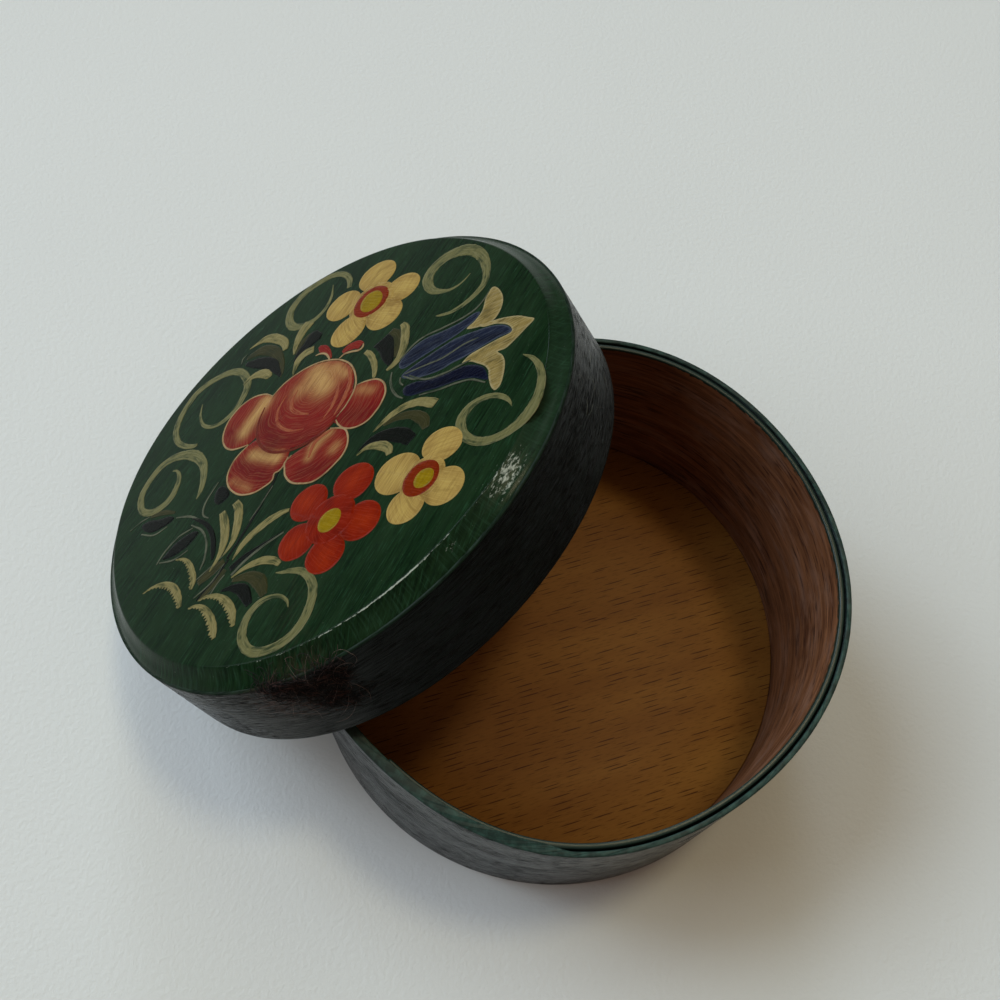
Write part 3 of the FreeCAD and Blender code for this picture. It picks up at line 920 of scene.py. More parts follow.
BLACK_SHAPES = (
    ((-30.8, -28.3), (-29.5, -26.8), (-27, -26), (-24.5, -24.8), (-22.8, -24.8), (-22.6, -25.8),
     (-24, -27.5), (-26, -29), (-28.5, -29.2)),
    ((-15.5, -16.2), (-13.5, -16.3), (-11.3, -17.5), (-11.4, -19), (-12.5, -20.2), (-14.5, -19.5),
     (-15.8, -17.5)),
    ((-12.6, -26.5), (-14.5, -26.8), (-16.8, -29.5), (-17.5, -32.5), (-17.4, -33.7), (-15, -32.5),
     (-13, -30), (-12.5, -28)),
)

OLIVE_LEAVES = (
    ((-21.3, 22.8, 0.8), (-21.8, 20.8, 1.3), (-21.6, 18.8, 1), (-21.2, 17, 0.4)),
    ((-36.5, 15, 1), (-33.5, 17.6, 3), (-29, 17.5, 3), (-25, 15.5, 2), (-22, 12.8, 1), (-20.8, 10.8, 0.3)),
    ((2.5, 24.3, 1.6), (5, 23.3, 2.4), (7, 20.8, 2.2), (8.6, 17.8, 1)),
    ((17, 2, 0.6), (19.5, 4.2, 1.8), (22.5, 5, 2.2), (25.5, 4.3, 2.6), (27.5, 2.5, 1.5)),
    ((5, -33.5, 1), (8.5, -32, 2.2), (12, -32.5, 3), (15, -34.5, 1.5)),
    ((-30, -26, 0.6), (-27, -24.4, 1.4), (-23.5, -23.8, 0.6)),
    ((-3.2, -36, 1.5), (-1.6, -33, 2.4), (-0.4, -30.5, 1.4)),
    ((0.2, -38.8, 0.8), (0.9, -35.5, 2), (1.2, -32, 1.6)),
)

DARK_STEMS = (
    ((-17, -24, 0.5), (-12, -24.6, 1), (-8, -26.5, 1.2), (-5, -29.3, 1.2), (-3.7, -31, 0.6)),
    ((-2, -11, 0.5), (-1, -16, 0.6), (-0.3, -22, 0.6), (0, -30, 0.6)),
    ((9.5, -22.5, 0.3), (6.5, -26, 0.9), (4, -29, 1.3), (2.6, -31.8, 1.5)),
    ((0.6, -30, 0.5), (0.4, -34, 0.8), (-0.6, -39, 0.4)),
)

PALE_STEMS = (
    ((-22, -24.8, 0.3), (-20, -24.2, 0.5), (-17.5, -23.8, 0.5), (-15, -24, 0.3)),
    ((-16, -25.5, 0.3), (-12, -26, 0.5), (-8.5, -28, 0.5), (-6, -31, 0.5), (-5, -33.5, 0.3)),
    ((-1, -14, 0.2), (-0.8, -18, 0.35), (-0.8, -22, 0.2)),
    ((9.8, -22.5, 0.4), (7, -26, 0.6), (5, -29.5, 0.7), (3.9, -32.8, 0.5)),
    ((-33.3, -30, 0.3), (-31.8, -27.5, 0.45), (-30.3, -26, 0.3)),
    ((-29, -30, 0.3), (-25, -29.4, 0.45), (-22.8, -27, 0.3)),
    ((-17, -15.5, 0.3), (-16.8, -19, 0.45), (-16, -21.5, 0.45), (-14.5, -23, 0.4), (-12.5, -23.3, 0.3)),
    ((-15, -26, 0.3), (-17.3, -28.5, 0.45), (-18.2, -32, 0.45), (-18, -35, 0.3)),
    ((-17.5, -34.5, 0.3), (-14, -33, 0.45), (-12, -30.5, 0.3)),
    ((-37, 13.5, 0.3), (-37.8, 15, 0.4), (-37.4, 16.4, 0.3)),
    ((-4.2, -35.5, 0.25), (-2.6, -32, 0.4), (-1.2, -29, 0.25)),
    ((-1.6, -38.8, 0.25), (0.2, -35, 0.4), (0.2, -31, 0.25)),
    ((2, -38, 0.2), (1.9, -35, 0.35), (2.2, -33, 0.25)),
)

# Petals: middle (x, y) and half its length and width; the long side points at the flower's middle.
DAISIES = (
    ((-9.1, 32), ((-13, 39.5, 4.5, 4.7), (-17, 30.8, 4.3, 4.4), (-3, 35.8, 4.5, 4.2), (-2.8, 28.6, 4.5, 4.3),
                  (-10, 24, 4.6, 4.2))),
    ((34, -7.4), ((33.4, -0.3, 3.8, 4.1), (27.5, -7.3, 4.6, 4.5), (39, -8.2, 4, 4), (33.6, -13, 3.8, 3.7))),
)
DAISY_BODIES = ((-9.1, 32, 5.6, 5.6), (33.6, -7.4, 4.4, 4.6))
# Rounds: middle, half its length and width, turn in degrees, and the draw of its wobble.
DAISY_RINGS = ((-9.2, 32, 4.4, 4.6, 20, -6.2), (33.4, -7.5, 3.6, 3.9, 0, 36.4))
DAISY_CENTRES = ((-9.1, 32, 3.3, 2.8, 125, -6.1), (34, -7.4, 2, 2.2, 0, 37))
RED_FLOWER = ((18.9, -18.5), ((18.6, -10.3, 4.2, 4.3), (25.8, -17.3, 4.2, 4.2), (22.7, -24.6, 4.1, 4),
                              (14.5, -23.7, 4, 3.9), (11.2, -16, 4.1, 4.1)))
RED_BODY = (18.8, -18.2, 5.2, 5.2)
RED_CENTRE = ((18.9, -18.5, 2.4, 2.6, 0),)

ROSE_BALL = (-7.6, 4.7, 11.6, 11.5)
ROSE_PETALS = (
    ((-19, 6), (-22, 6.2), (-25, 5), (-26.8, 2.5), (-27.3, -0.5), (-26.7, -3.2), (-25, -5.8), (-22.5, -7.5),
     (-20, -7.9), (-17.8, -7.2), (-16, -6.2), (-15, -2), (-16.5, 3)),
    ((-15.8, -6.3), (-16.7, -9), (-16.6, -11.5), (-15.3, -14.2), (-12.5, -16.3), (-8.5, -17.2), (-5, -16.3),
     (-2.8, -14.2), (-2.2, -12.8), (-2.8, -11.5), (-2, -10.6), (-1.8, -9.2), (-2.2, -7.5), (-4, -5),
     (-9, -4.5), (-14, -4.5)),
    ((0, -5), (0.5, -4.5), (4, 0), (7.5, 0.3), (9.5, -0.8), (11.2, -3), (11.7, -5.3), (11.2, -7.5),
     (10.2, -10), (8.5, -11.8), (5.5, -12.6), (3, -12.6), (0.5, -11.5), (-1, -10), (-2, -8.8), (-1.5, -7)),
    ((3.3, 10.5), (5, 11.5), (7.5, 12.2), (10, 11.5), (12, 9.5), (12.8, 7), (12.8, 4.5), (12.2, 2.5),
     (10.5, 1), (8, 0.4), (5.5, 1), (3, 2), (2, 6)),
)
# The outlines run along the petals' free edges and along the ball's.
ROSE_OUTLINES = (
    ROSE_PETALS[0][:11], ROSE_PETALS[1][:13], ROSE_PETALS[2][2:], ROSE_PETALS[3][:11] + ((4, 2),),
    ((3.6, 2.6), (4, 6), (3.2, 9.8), (1, 12.8), (-2.4, 15.3), (-6.5, 16.3), (-11, 15.7), (-15, 13.4),
     (-18, 9.6), (-19.1, 5.5)),
)
ROSE_DARK_LINES = (
    ((-19, 3, 0.3), (-17.7, -0.5, 0.6), (-15, -4, 0.7), (-12, -6, 0.7), (-8, -7, 0.7), (-4, -6.4, 0.7),
     (-1, -5, 0.6), (2, -2.4, 0.6), (3.5, 1, 0.5), (3.8, 4, 0.3)),
)
ROSE_ARCS = (
    ((-12.6, 8, 0.2), (-12.2, 5.5, 0.9), (-10.5, 3.4, 1.1), (-8, 2.6, 1), (-4.5, 2.6, 0.3)),
    ((-3, 15, 0.3), (0.6, 11.4, 1), (2.2, 7, 1.1), (2.6, 3, 0.3)),
    ((-2.2, 11, 0.2), (-0.6, 8, 0.9), (0.4, 5, 0.8), (0.3, 2, 0.2)),
    ((-15, 6.5, 0.2), (-14.2, 2.5, 0.7), (-11.5, -0.5, 0.8), (-7, -1.7, 0.7), (-3, -0.9, 0.2)),
    ((4.5, -0.5, 0.4), (3, -2.2, 0.9), (2.5, -4, 1), (3.5, -7, 0.5)),
)
SEPALS = (
    ((-15.4, 19.4, 0.8), (-13.8, 18.9, 2.2), (-12, 18.2, 1.8), (-10.3, 17.2, 1), (-9.4, 16.6, 0.3)),
    ((-7.2, 18.2, 1), (-6.3, 19.6, 2.2), (-4.6, 20.4, 2.4), (-3.1, 20.2, 1.8)),
)
SEPAL_LINES = (
    ((-14.6, 17, 0.3), (-13.5, 17.6, 0.5), (-12, 17.6, 0.5), (-10.5, 16.9, 0.5), (-9.2, 15.9, 0.3)),
    ((-6.9, 16.6, 0.3), (-6.2, 17.9, 0.55), (-4.4, 18.6, 0.55), (-2.9, 19, 0.55), (-2.4, 19.8, 0.5),
     (-2.9, 20.8, 0.3)),
)
# Highlights and shades of the rose: line start, line end, radius, strength.
ROSE_LIGHT = (
    (-10.5, 12.8, -5.5, 9.5, 2.9, 0.9), (-12, 8, -8, 11.5, 2.4, 0.5), (-6, 14.5, -2, 13, 1.4, 0.6),
    (-20, -3.5, -20, 4.5, 1.9, 0.95), (-12.5, -8.3, -5.2, -8.1, 1.5, 1), (-13, -14.6, -7, -15.6, 1, 0.35),
    (4.5, -1, 2.8, -4, 1.2, 0.7), (2.8, -4, 3.5, -7, 1.1, 0.6), (8.4, -4.5, 8.6, -3.5, 1.2, 0.45),
    (4.8, 9.6, 8, 9.5, 1.3, 0.4),
)
ROSE_DARK = (
    (-16, -1, -9, -5, 3, 0.6), (-9, -5, 2, -2, 2.2, 0.5), (-25, -4, -21, -6, 2, 0.5),
    (-14, -11, -4, -12.5, 2.4, 0.6), (9.5, -8, 4, -10.5, 2.2, 0.6), (6, 3, 11, 4, 2.5, 0.6),
    (1, 9, 2.6, 4, 1.2, 0.4),
)

TULIP_BLUE = (
    ((10.6, 16.5), (11.5, 20.3), (13.5, 22.8), (16.5, 24.6), (19.5, 26.8), (21.6, 29.2), (22.9, 29.4),
     (22.9, 27.5), (21.8, 25.3), (20.5, 23.5), (18, 20.8), (15, 17.5), (12.5, 15)),
    ((13.5, 14), (19.5, 21.5), (22, 23.5), (25, 25), (28, 26.2), (31, 26.4), (33.3, 25), (31, 23.3),
     (28.5, 21), (26, 18.5), (24, 17), (22.5, 15.5), (20, 14), (16, 12.8)),
)
TULIP_DARK = (
    ((16, 10.8), (18, 12.3), (21, 13), (24, 14.5), (27, 16.5), (29.5, 17), (32, 16.5), (33.8, 15),
     (34.5, 13.8), (31, 14), (28, 13.2), (25, 11.6), (22, 10.3), (19, 9), (17, 9.2)),
)
TULIP_CREAM = (
    ((21.9, 33), (21.7, 35.2), (22.3, 35.9), (24, 35.2), (26, 33.4), (27.2, 31.2), (27.6, 29), (27.2, 27.2),
     (25.5, 26), (22.2, 25.2), (22.9, 27.3), (23.1, 29.6), (22.5, 31.5)),
    ((24.5, 26.3), (27, 27.3), (29.5, 28.2), (32.5, 28.7), (35, 28.4), (36.7, 28), (36.2, 26), (35.2, 23),
     (34.3, 21), (33, 20.2), (34.5, 19.5), (36, 18), (37.3, 15.5), (38.1, 13), (37.8, 11.8), (37.2, 11.8),
     (36, 12.6), (34.5, 14.3), (33.5, 15.8), (32, 16.8), (30, 17.3), (28, 17.6), (26.3, 17), (27, 19.3),
     (29, 21.2), (31, 23), (33.2, 24.9), (31.5, 26.4), (28.5, 26.6), (26, 25.8)),
)
# Black dabs in the blue lobes and brown ones in the tips: line start, line end, radius, strength.
TULIP_BLACK = (
    (25, 21.2, 32, 24.6, 0.55, 0.9), (15, 14.8, 22, 18.6, 0.6, 0.6), (12.6, 18, 17, 22.6, 0.6, 0.7),
    (20, 10.4, 27, 13.4, 0.8, 0.6), (29, 27.4, 31, 27.6, 0.7, 0.4), (35.4, 18.5, 36.8, 15, 0.6, 0.5),
    (24.5, 31, 25.4, 28.5, 0.8, 0.4),
)
TULIP_LINES = (
    ((10.3, 17, 0.4), (11.3, 21, 0.5), (13, 23.3, 0.5), (16, 25.3, 0.5), (19, 27.5, 0.5), (21.2, 30, 0.5),
     (21.8, 32.5, 0.4), (21.8, 35, 0.2)),
    ((14, 13.8, 0.3), (18, 16.3, 0.45), (21, 18.2, 0.45), (24, 21.5, 0.45), (26.5, 23.2, 0.2)),
    ((15.5, 13.5, 0.3), (20, 13, 0.5), (23.5, 14.5, 0.5), (26, 16.5, 0.5), (28, 18, 0.3)),
    ((10.4, 14, 0.3), (11.5, 12, 0.5), (13.5, 10, 0.6), (15.5, 8.8, 0.5), (17.5, 8.3, 0.3)),
    ((13.5, 13, 0.3), (14.2, 11.8, 0.45), (15.5, 11.2, 0.3)),
    ((14, 13.3, 0.3), (17, 12.8, 0.45), (19, 13.1, 0.3)),
    ((21, 9.3, 0.3), (25, 11, 0.45), (28, 12.6, 0.45), (31, 13.6, 0.45), (34.5, 13.2, 0.3)),
)


# The box

# Stretches of the way round the box, in degrees: start, full, waning and end.
PAINT_BRIDGE = (251.5, 253, 290, 297)
OUTER_PLY_ALONE = (229, 236, 252.5, 253.6)
GROOVE_DEPTH = 3
BRIDGE_TOP, BRIDGE_FOOT = 0.5, 2
# Shares of a ply's thickness: how much thicker the lone ply is, and how much the paint bridges.
THICKER_ALONE, BRIDGED = 0.7, 0.7
GLUE_LINE = 0.02
FOOT_EASE, RIM_EASE = 0.25, 0.3
FLOOR_PLAY = 0.05
# Where each bent ply's ends meet, in degrees, and half the gap between them.
BOX_SEAM, LID_SEAM, LID_INNER_SEAM, HALF_GAP = 205, 130, 250, 0.2
INNER_PLY_START, INNER_PLY_END = 254, 590


def ply_split(angle):
    """Half width of the groove that shows between the box's two plies at the rim."""
    return looks().groove / MM / 2 * (1 - painted_over(math.degrees(angle) % 360))


def painted_over(degrees):
    """Where the rim's paint bridges the two plies: 1 where no groove is left."""
    return float(stretch(degrees, PAINT_BRIDGE))


def box_outer_section(angle):
    """The outer ply: painted, and thicker where it stands alone before the inner ply starts."""
    degrees = math.degrees(angle) % 360
    alone = float(stretch(degrees, OUTER_PLY_ALONE))
    groove = ply_split(angle) * (1 - alone)
    bridge = BRIDGED * PLY * painted_over(degrees) * (1 - alone)

    def outer(z):
        return box_radius_at(angle, z)

    def inner(z):
        opened = groove * smooth(BOX_HEIGHT - GROOVE_DEPTH, BOX_HEIGHT, z)
        bridged = bridge * smooth(BOX_HEIGHT - BRIDGE_FOOT, BOX_HEIGHT - BRIDGE_TOP, z)
        return outer(z) - PLY * (1 + THICKER_ALONE * alone) + GLUE_LINE + opened - bridged

    return wall_section(outer, inner, BOX_HEIGHT, FOOT_EASE, RIM_EASE, 90, 12)


def box_inner_section(angle):
    """The inner ply, a hair lower than the outer one at the rim."""
    groove = ply_split(angle)

    def outer(z):
        opened = groove * smooth(BOX_HEIGHT - GROOVE_DEPTH, BOX_HEIGHT, z)
        return box_radius_at(angle, z) - PLY - opened - GLUE_LINE

    def inner(z):
        return box_radius_at(angle, z) - 2 * PLY

    return wall_section(outer, inner, BOX_HEIGHT - 0.05, FOOT_EASE, RIM_EASE, 12, 90)


def box_relief(angle, r, z, part):
    """Open grain on the outside, smoother grain inside, and small dents on the rim and foot."""
    if part == OUTSIDE:
        return looks().wall_grain / MM * grain_relief(angle * r, z, 14, 0.7, 3.0)
    if part == INSIDE:
        return 0.03 * grain_relief(angle * r, z, 20, 1.1, 9.0)
    return 0.02 * grain_relief(angle * r, z, 3, 1, 5.0)


def lap_depths(piece):
    """How far each point lies below the rim's paint, in millimetres; below zero it is painted."""
    depths = []
    for vertex, item in zip(piece.data.vertices, piece.data.attributes["grain"].data):
        degrees = math.degrees(math.atan2(vertex.co.y, vertex.co.x))
        wide = 0.55 + 0.9 * bell(degrees, -12, 34)
        inside_face = abs(item.vector.z - INSIDE) < 0.5
        depths.append(BOX_HEIGHT - item.vector.y - wide if inside_face else ALL_PAINTED)
    return depths


class BENTWOOD_OT_box(bpy.types.Operator):
    """Builds the box: its floor board and the two bent plies of its wall"""

    bl_idname = "bentwood.box"
    bl_label = "Box"

    def execute(self, context):
        outer = bent_ply("wall_outer_ply", box_outer_section, seamed(BOX_SEAM, 0.5), from_box,
                         "box_wall_dark_green_paint_on_open_grain", box_relief)
        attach(outer, "box")
        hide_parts("box_outer_band")
        inner = bent_ply("wall_inner_ply", box_inner_section, arc(INNER_PLY_START, INNER_PLY_END, 0.5),
                         from_box, "beech_ply_bent_bare_and_stained", box_relief)
        store(inner, "lap", lap_depths(inner))
        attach(inner, "box")
        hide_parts("box_inner_band")

        def floor_ring(height, inset, share=1.0):
            return lambda a: (float(box_radius_at(a, height)) - 2 * PLY - inset) * share

        rings = [(floor_ring(0, 0.4), 0), (floor_ring(0.3, FLOOR_PLAY), 0.3),
                 (floor_ring(FLOOR_TOP, FLOOR_PLAY), FLOOR_TOP - 0.25),
                 (floor_ring(FLOOR_TOP, 0.25), FLOOR_TOP),
                 (floor_ring(FLOOR_TOP, FLOOR_PLAY, 0.6), FLOOR_TOP)]
        floor = disc("floor_board", rings, arc(0, 360, 1, True), from_box,
                     [material("beech_floor_turned_and_oiled")])
        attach(floor, "box")
        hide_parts("box_bottom")
        return {"FINISHED"}


# The lid

SKIRT_OUTSIDE, SKIRT_JOINT, INNER_PLY_OUTSIDE = 52.66, 51.55, 51.5
SKIRT_RADIUS = 52.7
# Rings of the lid's board: radius, height, and how far outside the edge of the flat top they lie.
LID_RINGS = (
    (50.1, LID_UNDERSIDE, -3), (50.35, LID_UNDERSIDE + 0.25, -3), (50.38, LID_SHOULDER - 0.25, 3),
    (52.24, LID_SHOULDER - 0.16, 2.5), (52.18, LID_SHOULDER, 2.36), (51.2, LID_SHOULDER + 0.5, 1.76),
    (50.3, LID_SHOULDER + 1.38, 1.16), (49.75, LID_HEIGHT - 0.65, 0.61), (49.4, LID_HEIGHT - 0.26, 0.26),
    (49.24, LID_HEIGHT - 0.11, 0.1), (49.12, LID_HEIGHT - 0.03, -0.02), (48.98, LID_HEIGHT - 0.005, -0.16),
    (48.75, LID_HEIGHT, -0.39), (45, LID_HEIGHT, -4), (35, LID_HEIGHT, -14), (25, LID_HEIGHT, -24),
    (15, LID_HEIGHT, -34), (5, LID_HEIGHT, -44),
)
UNDER_RINGS = 2
# Where torn fibres lie: angle and its spread in degrees, height and its spread in millimetres.
SCUFF = ((-56, 2, 12, 2.2), (-52.5, 1.8, 11, 2.6), (-59, 1.8, 14, 1.8), (-61, 1.5, 16, 0.8),
         (-53.5, 2.2, 8.8, 1.8), (-51, 1.4, 14, 1.5))
LONG_FIBRES = ((-50, 1.8, 13, 2), (-55, 3, 9.5, 2), (-61, 2, 12, 2))
PALE_FIBRES = ((18, 6, 8, 3), (27, 4, 7, 3))
FIBRE_STEP = 0.45


def lid_ring(radius):
    """Radius at an angle, with the lid's out of round growing towards its edge."""
    return lambda a: radius + float(lid_out_of_round(a)) * min(1, radius / 50)


def skirt_section(outside, bore, high, top_ease, outside_points, inside_points):
    """The section of one of the skirt's plies, as a function of the angle."""

    def section(angle):
        off = float(lid_out_of_round(angle))
        return wall_section(lambda z: z * 0 + outside + off, lambda z: z * 0 + bore + off, high, FOOT_EASE,
                            top_ease, outside_points, inside_points)

    return section


def lid_relief(angle, r, z, part):
    """Open grain on the skirt's outside, smoother grain elsewhere."""
    if part == OUTSIDE:
        return looks().band_grain / MM * grain_relief(angle * r, z, 16, 0.8, 21.0)
    return 0.02 * grain_relief(angle * r, z, 12, 0.9, 27.0)


def scuffed(x, y, h):
    """How strongly the fibrous brown scuff covers a place on the lid's bevel and band."""
    return bell(math.degrees(math.atan2(y, x)), -55.5, 5.5) * bell(h, 12, 4.4)


def edge_wear_and_glint(angle, edge_mm):
    """Paint rubbed off the edge between the flat top and the bevel, and a painted glint: pale specks on the
    bevel near -4 degrees. 0 none, about 0.4 at the palest.
    """
    degrees = math.degrees(angle)
    long_part = bell(degrees, -34, 15) + 0.35 * bell(degrees, -62, 18) + 0.3 * bell(degrees, -10, 6)
    # Painted glint: the pale specks near -4 degrees stand for the bevel's glint of overhead light.
    specks = 0.24 * bell(degrees, -4, 6) * bell(edge_mm, 1, 1.1)
    specks += 0.16 * bell(degrees, -21, 2) * bell(edge_mm, 1, 0.5)
    return min(0.4, 0.36 * long_part * bell(edge_mm, 0.1, 0.11) + specks)


def fibre_path(chance, angle, height, steps, wander):
    """A curling line over the lid's band and bevel, as lid millimetres."""
    place = np.array([math.radians(angle) * SKIRT_RADIUS, height])
    heading = chance.uniform(0, TURN)
    bend = chance.uniform(-wander, wander)
    lift = chance.uniform(0.05, 0.45)
    path = []
    for step in range(steps):
        a, h = place[0] / SKIRT_RADIUS, place[1]
        over_bevel = 0.98 * max(0.0, h - LID_SHOULDER + 0.3)
        arch = lift * math.sin(math.pi * (step + 0.3) / steps)
        r = SKIRT_RADIUS + 0.05 + float(lid_out_of_round(a)) + arch - over_bevel
        path.append((r * math.cos(a), r * math.sin(a), h + 0.12))
        bend += chance.uniform(-wander, wander) * 0.5
        heading += bend
        place = place + FIBRE_STEP * np.array([math.cos(heading), 0.9 * math.sin(heading)])
        place[1] = min(max(place[1], 1.0), LID_HEIGHT - 0.3)
    return np.array(path)


def fibres(name, finish, seed, count, places, steps, thick, wander):
    """Loose wood fibres: thin curling threads raised off torn paint."""
    chance = random.Random(looks().fibre_seed * 100 + seed)
    verts, faces = [], []
    for _ in range(max(1, round(count * looks().fibre_share))):
        angle, spread_out, height, tall = places[chance.randrange(len(places))]
        path = fibre_path(chance, chance.gauss(angle, spread_out), chance.gauss(height, tall), steps, wander)
        ahead = np.gradient(path, axis=0)
        ahead /= np.linalg.norm(ahead, axis=1)[:, None] + 1e-9
        out = path * (1, 1, 0)
        out /= np.linalg.norm(out, axis=1)[:, None]
        side = np.cross(ahead, out)
        side /= np.linalg.norm(side, axis=1)[:, None] + 1e-9
        out = np.cross(side, ahead)
        start = len(verts)
        for i in range(steps):
            half = thick * (0.35 + 0.65 * math.sin(math.pi * (i + 0.5) / steps))
            for c, s in ((1, 0), (-0.5, 0.87), (-0.5, -0.87)):
                verts.append(path[i] + half * (c * out[i] + s * side[i]))
        faces.extend([tuple(start + i for i in f) for f in ring_faces(steps, 3)])
    made = new_piece(name, verts, faces, [material(finish)], from_lid)
    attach(made, "lid")


class BENTWOOD_OT_fibres(bpy.types.Operator):
    """Lays the torn brown fibres of the scuff and the few pale ones on the lid's skirt"""

    bl_idname = "bentwood.fibres"
    bl_label = "Loose fibres"

    def execute(self, context):
        fibres("scuff_fibres_dark", "torn_fibre_dark", 4, 300, SCUFF, 9, 0.06, 0.35)
        fibres("scuff_fibres_brown", "torn_fibre_red_brown", 5, 170, SCUFF, 8, 0.04, 0.3)
        fibres("scuff_fibres_long", "torn_fibre_pink_grey", 7, 18, LONG_FIBRES, 18, 0.026, 0.12)
        fibres("skirt_fibres_pale", "torn_fibre_pale", 6, 8, PALE_FIBRES, 8, 0.03, 0.12)
        return {"FINISHED"}


class BENTWOOD_OT_lid(bpy.types.Operator):
    """Builds the lid: its turned board with the bevel, and its two bent plies"""

    bl_idname = "bentwood.lid"
    bl_label = "Lid"

    def execute(self, context):
        section = skirt_section(SKIRT_OUTSIDE, SKIRT_JOINT, LID_SHOULDER, 0.5, 40, 14)
        outer = bent_ply("lid_outer_ply", section, seamed(LID_SEAM, 0.5), from_lid,
                         "lid_skirt_dark_green_paint_on_open_grain", lid_relief)
        places = [item.vector for item in outer.data.attributes["grain"].data]
        places = [(p.x / SKIRT_RADIUS, p.y) for p in places]
        store(outer, "scuff", [scuffed(math.cos(a), math.sin(a), h) for a, h in places])
        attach(outer, "lid")
        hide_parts("lid_outer_band")
        section = skirt_section(INNER_PLY_OUTSIDE, LID_BORE, LID_SHOULDER - 0.3, 0.1, 10, 24)
        inner = bent_ply("lid_inner_ply", section, seamed(LID_INNER_SEAM, 1), from_lid,
                         "beech_ply_bent_bare_and_stained", lid_relief)
        store(inner, "lap", [ALL_BARE] * len(inner.data.vertices))
        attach(inner, "lid")
        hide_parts("lid_inner_band")
        turns = arc(0, 360, 0.5, True)
        count = len(LID_RINGS)
        finishes = ("lid_top_green_paint_on_turned_disc", "beech_floor_turned_and_oiled")
        board = disc("lid_board", [(lid_ring(r), h) for r, h, _ in LID_RINGS], turns, from_lid,
                     [material(finish) for finish in finishes])
        under = set(range(UNDER_RINGS * len(turns))) | {count * len(turns)}
        for face in board.data.polygons:
            face.material_index = int(under.issuperset(face.vertices))
        grain, edge, scuff = [], [], []
        for index in range(len(board.data.vertices)):
            ring, column = divmod(index, len(turns))
            radius, h, edge_mm = LID_RINGS[min(ring, count - 1)]
            a = float(turns[column])
            a = a - TURN if a > math.pi else a
            r = lid_ring(radius)(a) if ring < count else 0
            x, y = r * math.cos(a), r * math.sin(a)
            grain.append((x, y, h))
            edge.append((edge_mm, a * 50, edge_wear_and_glint(a, edge_mm)))
            scuff.append(scuffed(x, y, h) if ring < count else 0)
        store(board, "grain", grain)
        store(board, "edge", edge)
        store(board, "scuff", scuff)
        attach(board, "lid")
        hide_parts("lid_top")
        return {"FINISHED"}


# The painting's pieces


def strokes(name, finish, rows, height, comb=0.0):
    """One piece of brush strokes in one paint, its film so many millimetres thick."""
    paint = Painting()
    for points in rows:
        paint.stroke(points, height, comb)
    paint.piece(name, finish)


def flower(paint, middle, petals, body, notch, tip):
    """Petals round a middle and the body they grow from; notch and tip are sizes of their dabs."""
    notches = between_petals(middle, petals, *notch)
    tips = petal_tips(middle, petals, *tip)
    for x, y, half_long, half_wide in petals:
        turn = math.degrees(math.atan2(y - middle[1], x - middle[0]))
        petal = ellipse(x, y, half_long, half_wide, turn, x)
        paint.shape(petal, 0.07, from_middle(middle), tips, notches, False)
    x, y, rx, ry = body
    paint.shape(ellipse(x, y, rx, ry, 0), 0.075, from_middle((x, y)), (), notches, False)


def rounds(name, finish, rows, height):
    """One piece of dots or rings in the flowers' middles."""
    paint = Painting()
    for row in rows:
        paint.shape(ellipse(*row), height, smoothed=False)
    paint.piece(name, finish)


class BENTWOOD_OT_scrolls(bpy.types.Operator):
    """Paints the scrolls, cream strokes and comb-edged strokes on the lid"""

    bl_idname = "bentwood.scrolls"
    bl_label = "Scrolls and strokes"

    def execute(self, context):
        strokes("scrolls", "cream_green_scroll_paint", SCROLLS, 0.05)
        strokes("cream_strokes", "cream_stroke_paint", CREAM_STROKES, 0.08)
        strokes("comb_strokes", "cream_stroke_paint", COMB_STROKES, 0.07, 0.8)
        return {"FINISHED"}


class BENTWOOD_OT_leaves(bpy.types.Operator):
    """Paints the dark and olive leaves and the stems on the lid"""

    bl_idname = "bentwood.leaves"
    bl_label = "Leaves and stems"

    def execute(self, context):
        paint = Painting()
        for points in BLACK_LEAVES:
            paint.stroke(points, 0.05)
        for outline in BLACK_SHAPES:
            paint.shape(outline, 0.05)
        paint.piece("black_leaves", "black_green_leaf_paint")
        strokes("olive_leaves", "olive_leaf_paint", OLIVE_LEAVES, 0.045)
        strokes("dark_stems", "black_green_leaf_paint", DARK_STEMS, 0.06)
        strokes("pale_stems", "grey_line_paint", PALE_STEMS, 0.07)
        return {"FINISHED"}


class BENTWOOD_OT_daisies(bpy.types.Operator):
    """Paints the two cream flowers and the red one on the lid"""

    bl_idname = "bentwood.daisies"
    bl_label = "Small flowers"

    def execute(self, context):
        paint = Painting()
        for (middle, petals), body in zip(DAISIES, DAISY_BODIES):
            flower(paint, middle, petals, body, (8.2, 0.75, 0.75), (1.9, 0.5))
        paint.piece("daisy_petals", "cream_petal_paint")
        rounds("daisy_rings", "orange_red_ring_paint", DAISY_RINGS, 0.1)
        rounds("daisy_centres", "yellow_centre_paint", DAISY_CENTRES, 0.14)
        paint = Painting()
        flower(paint, *RED_FLOWER, RED_BODY, (7.5, 0.8, 0.7), (2, 0.55))
        paint.piece("red_flower_petals", "orange_red_petal_paint")
        rounds("red_flower_centre", "yellow_centre_paint", RED_CENTRE, 0.13)
        return {"FINISHED"}


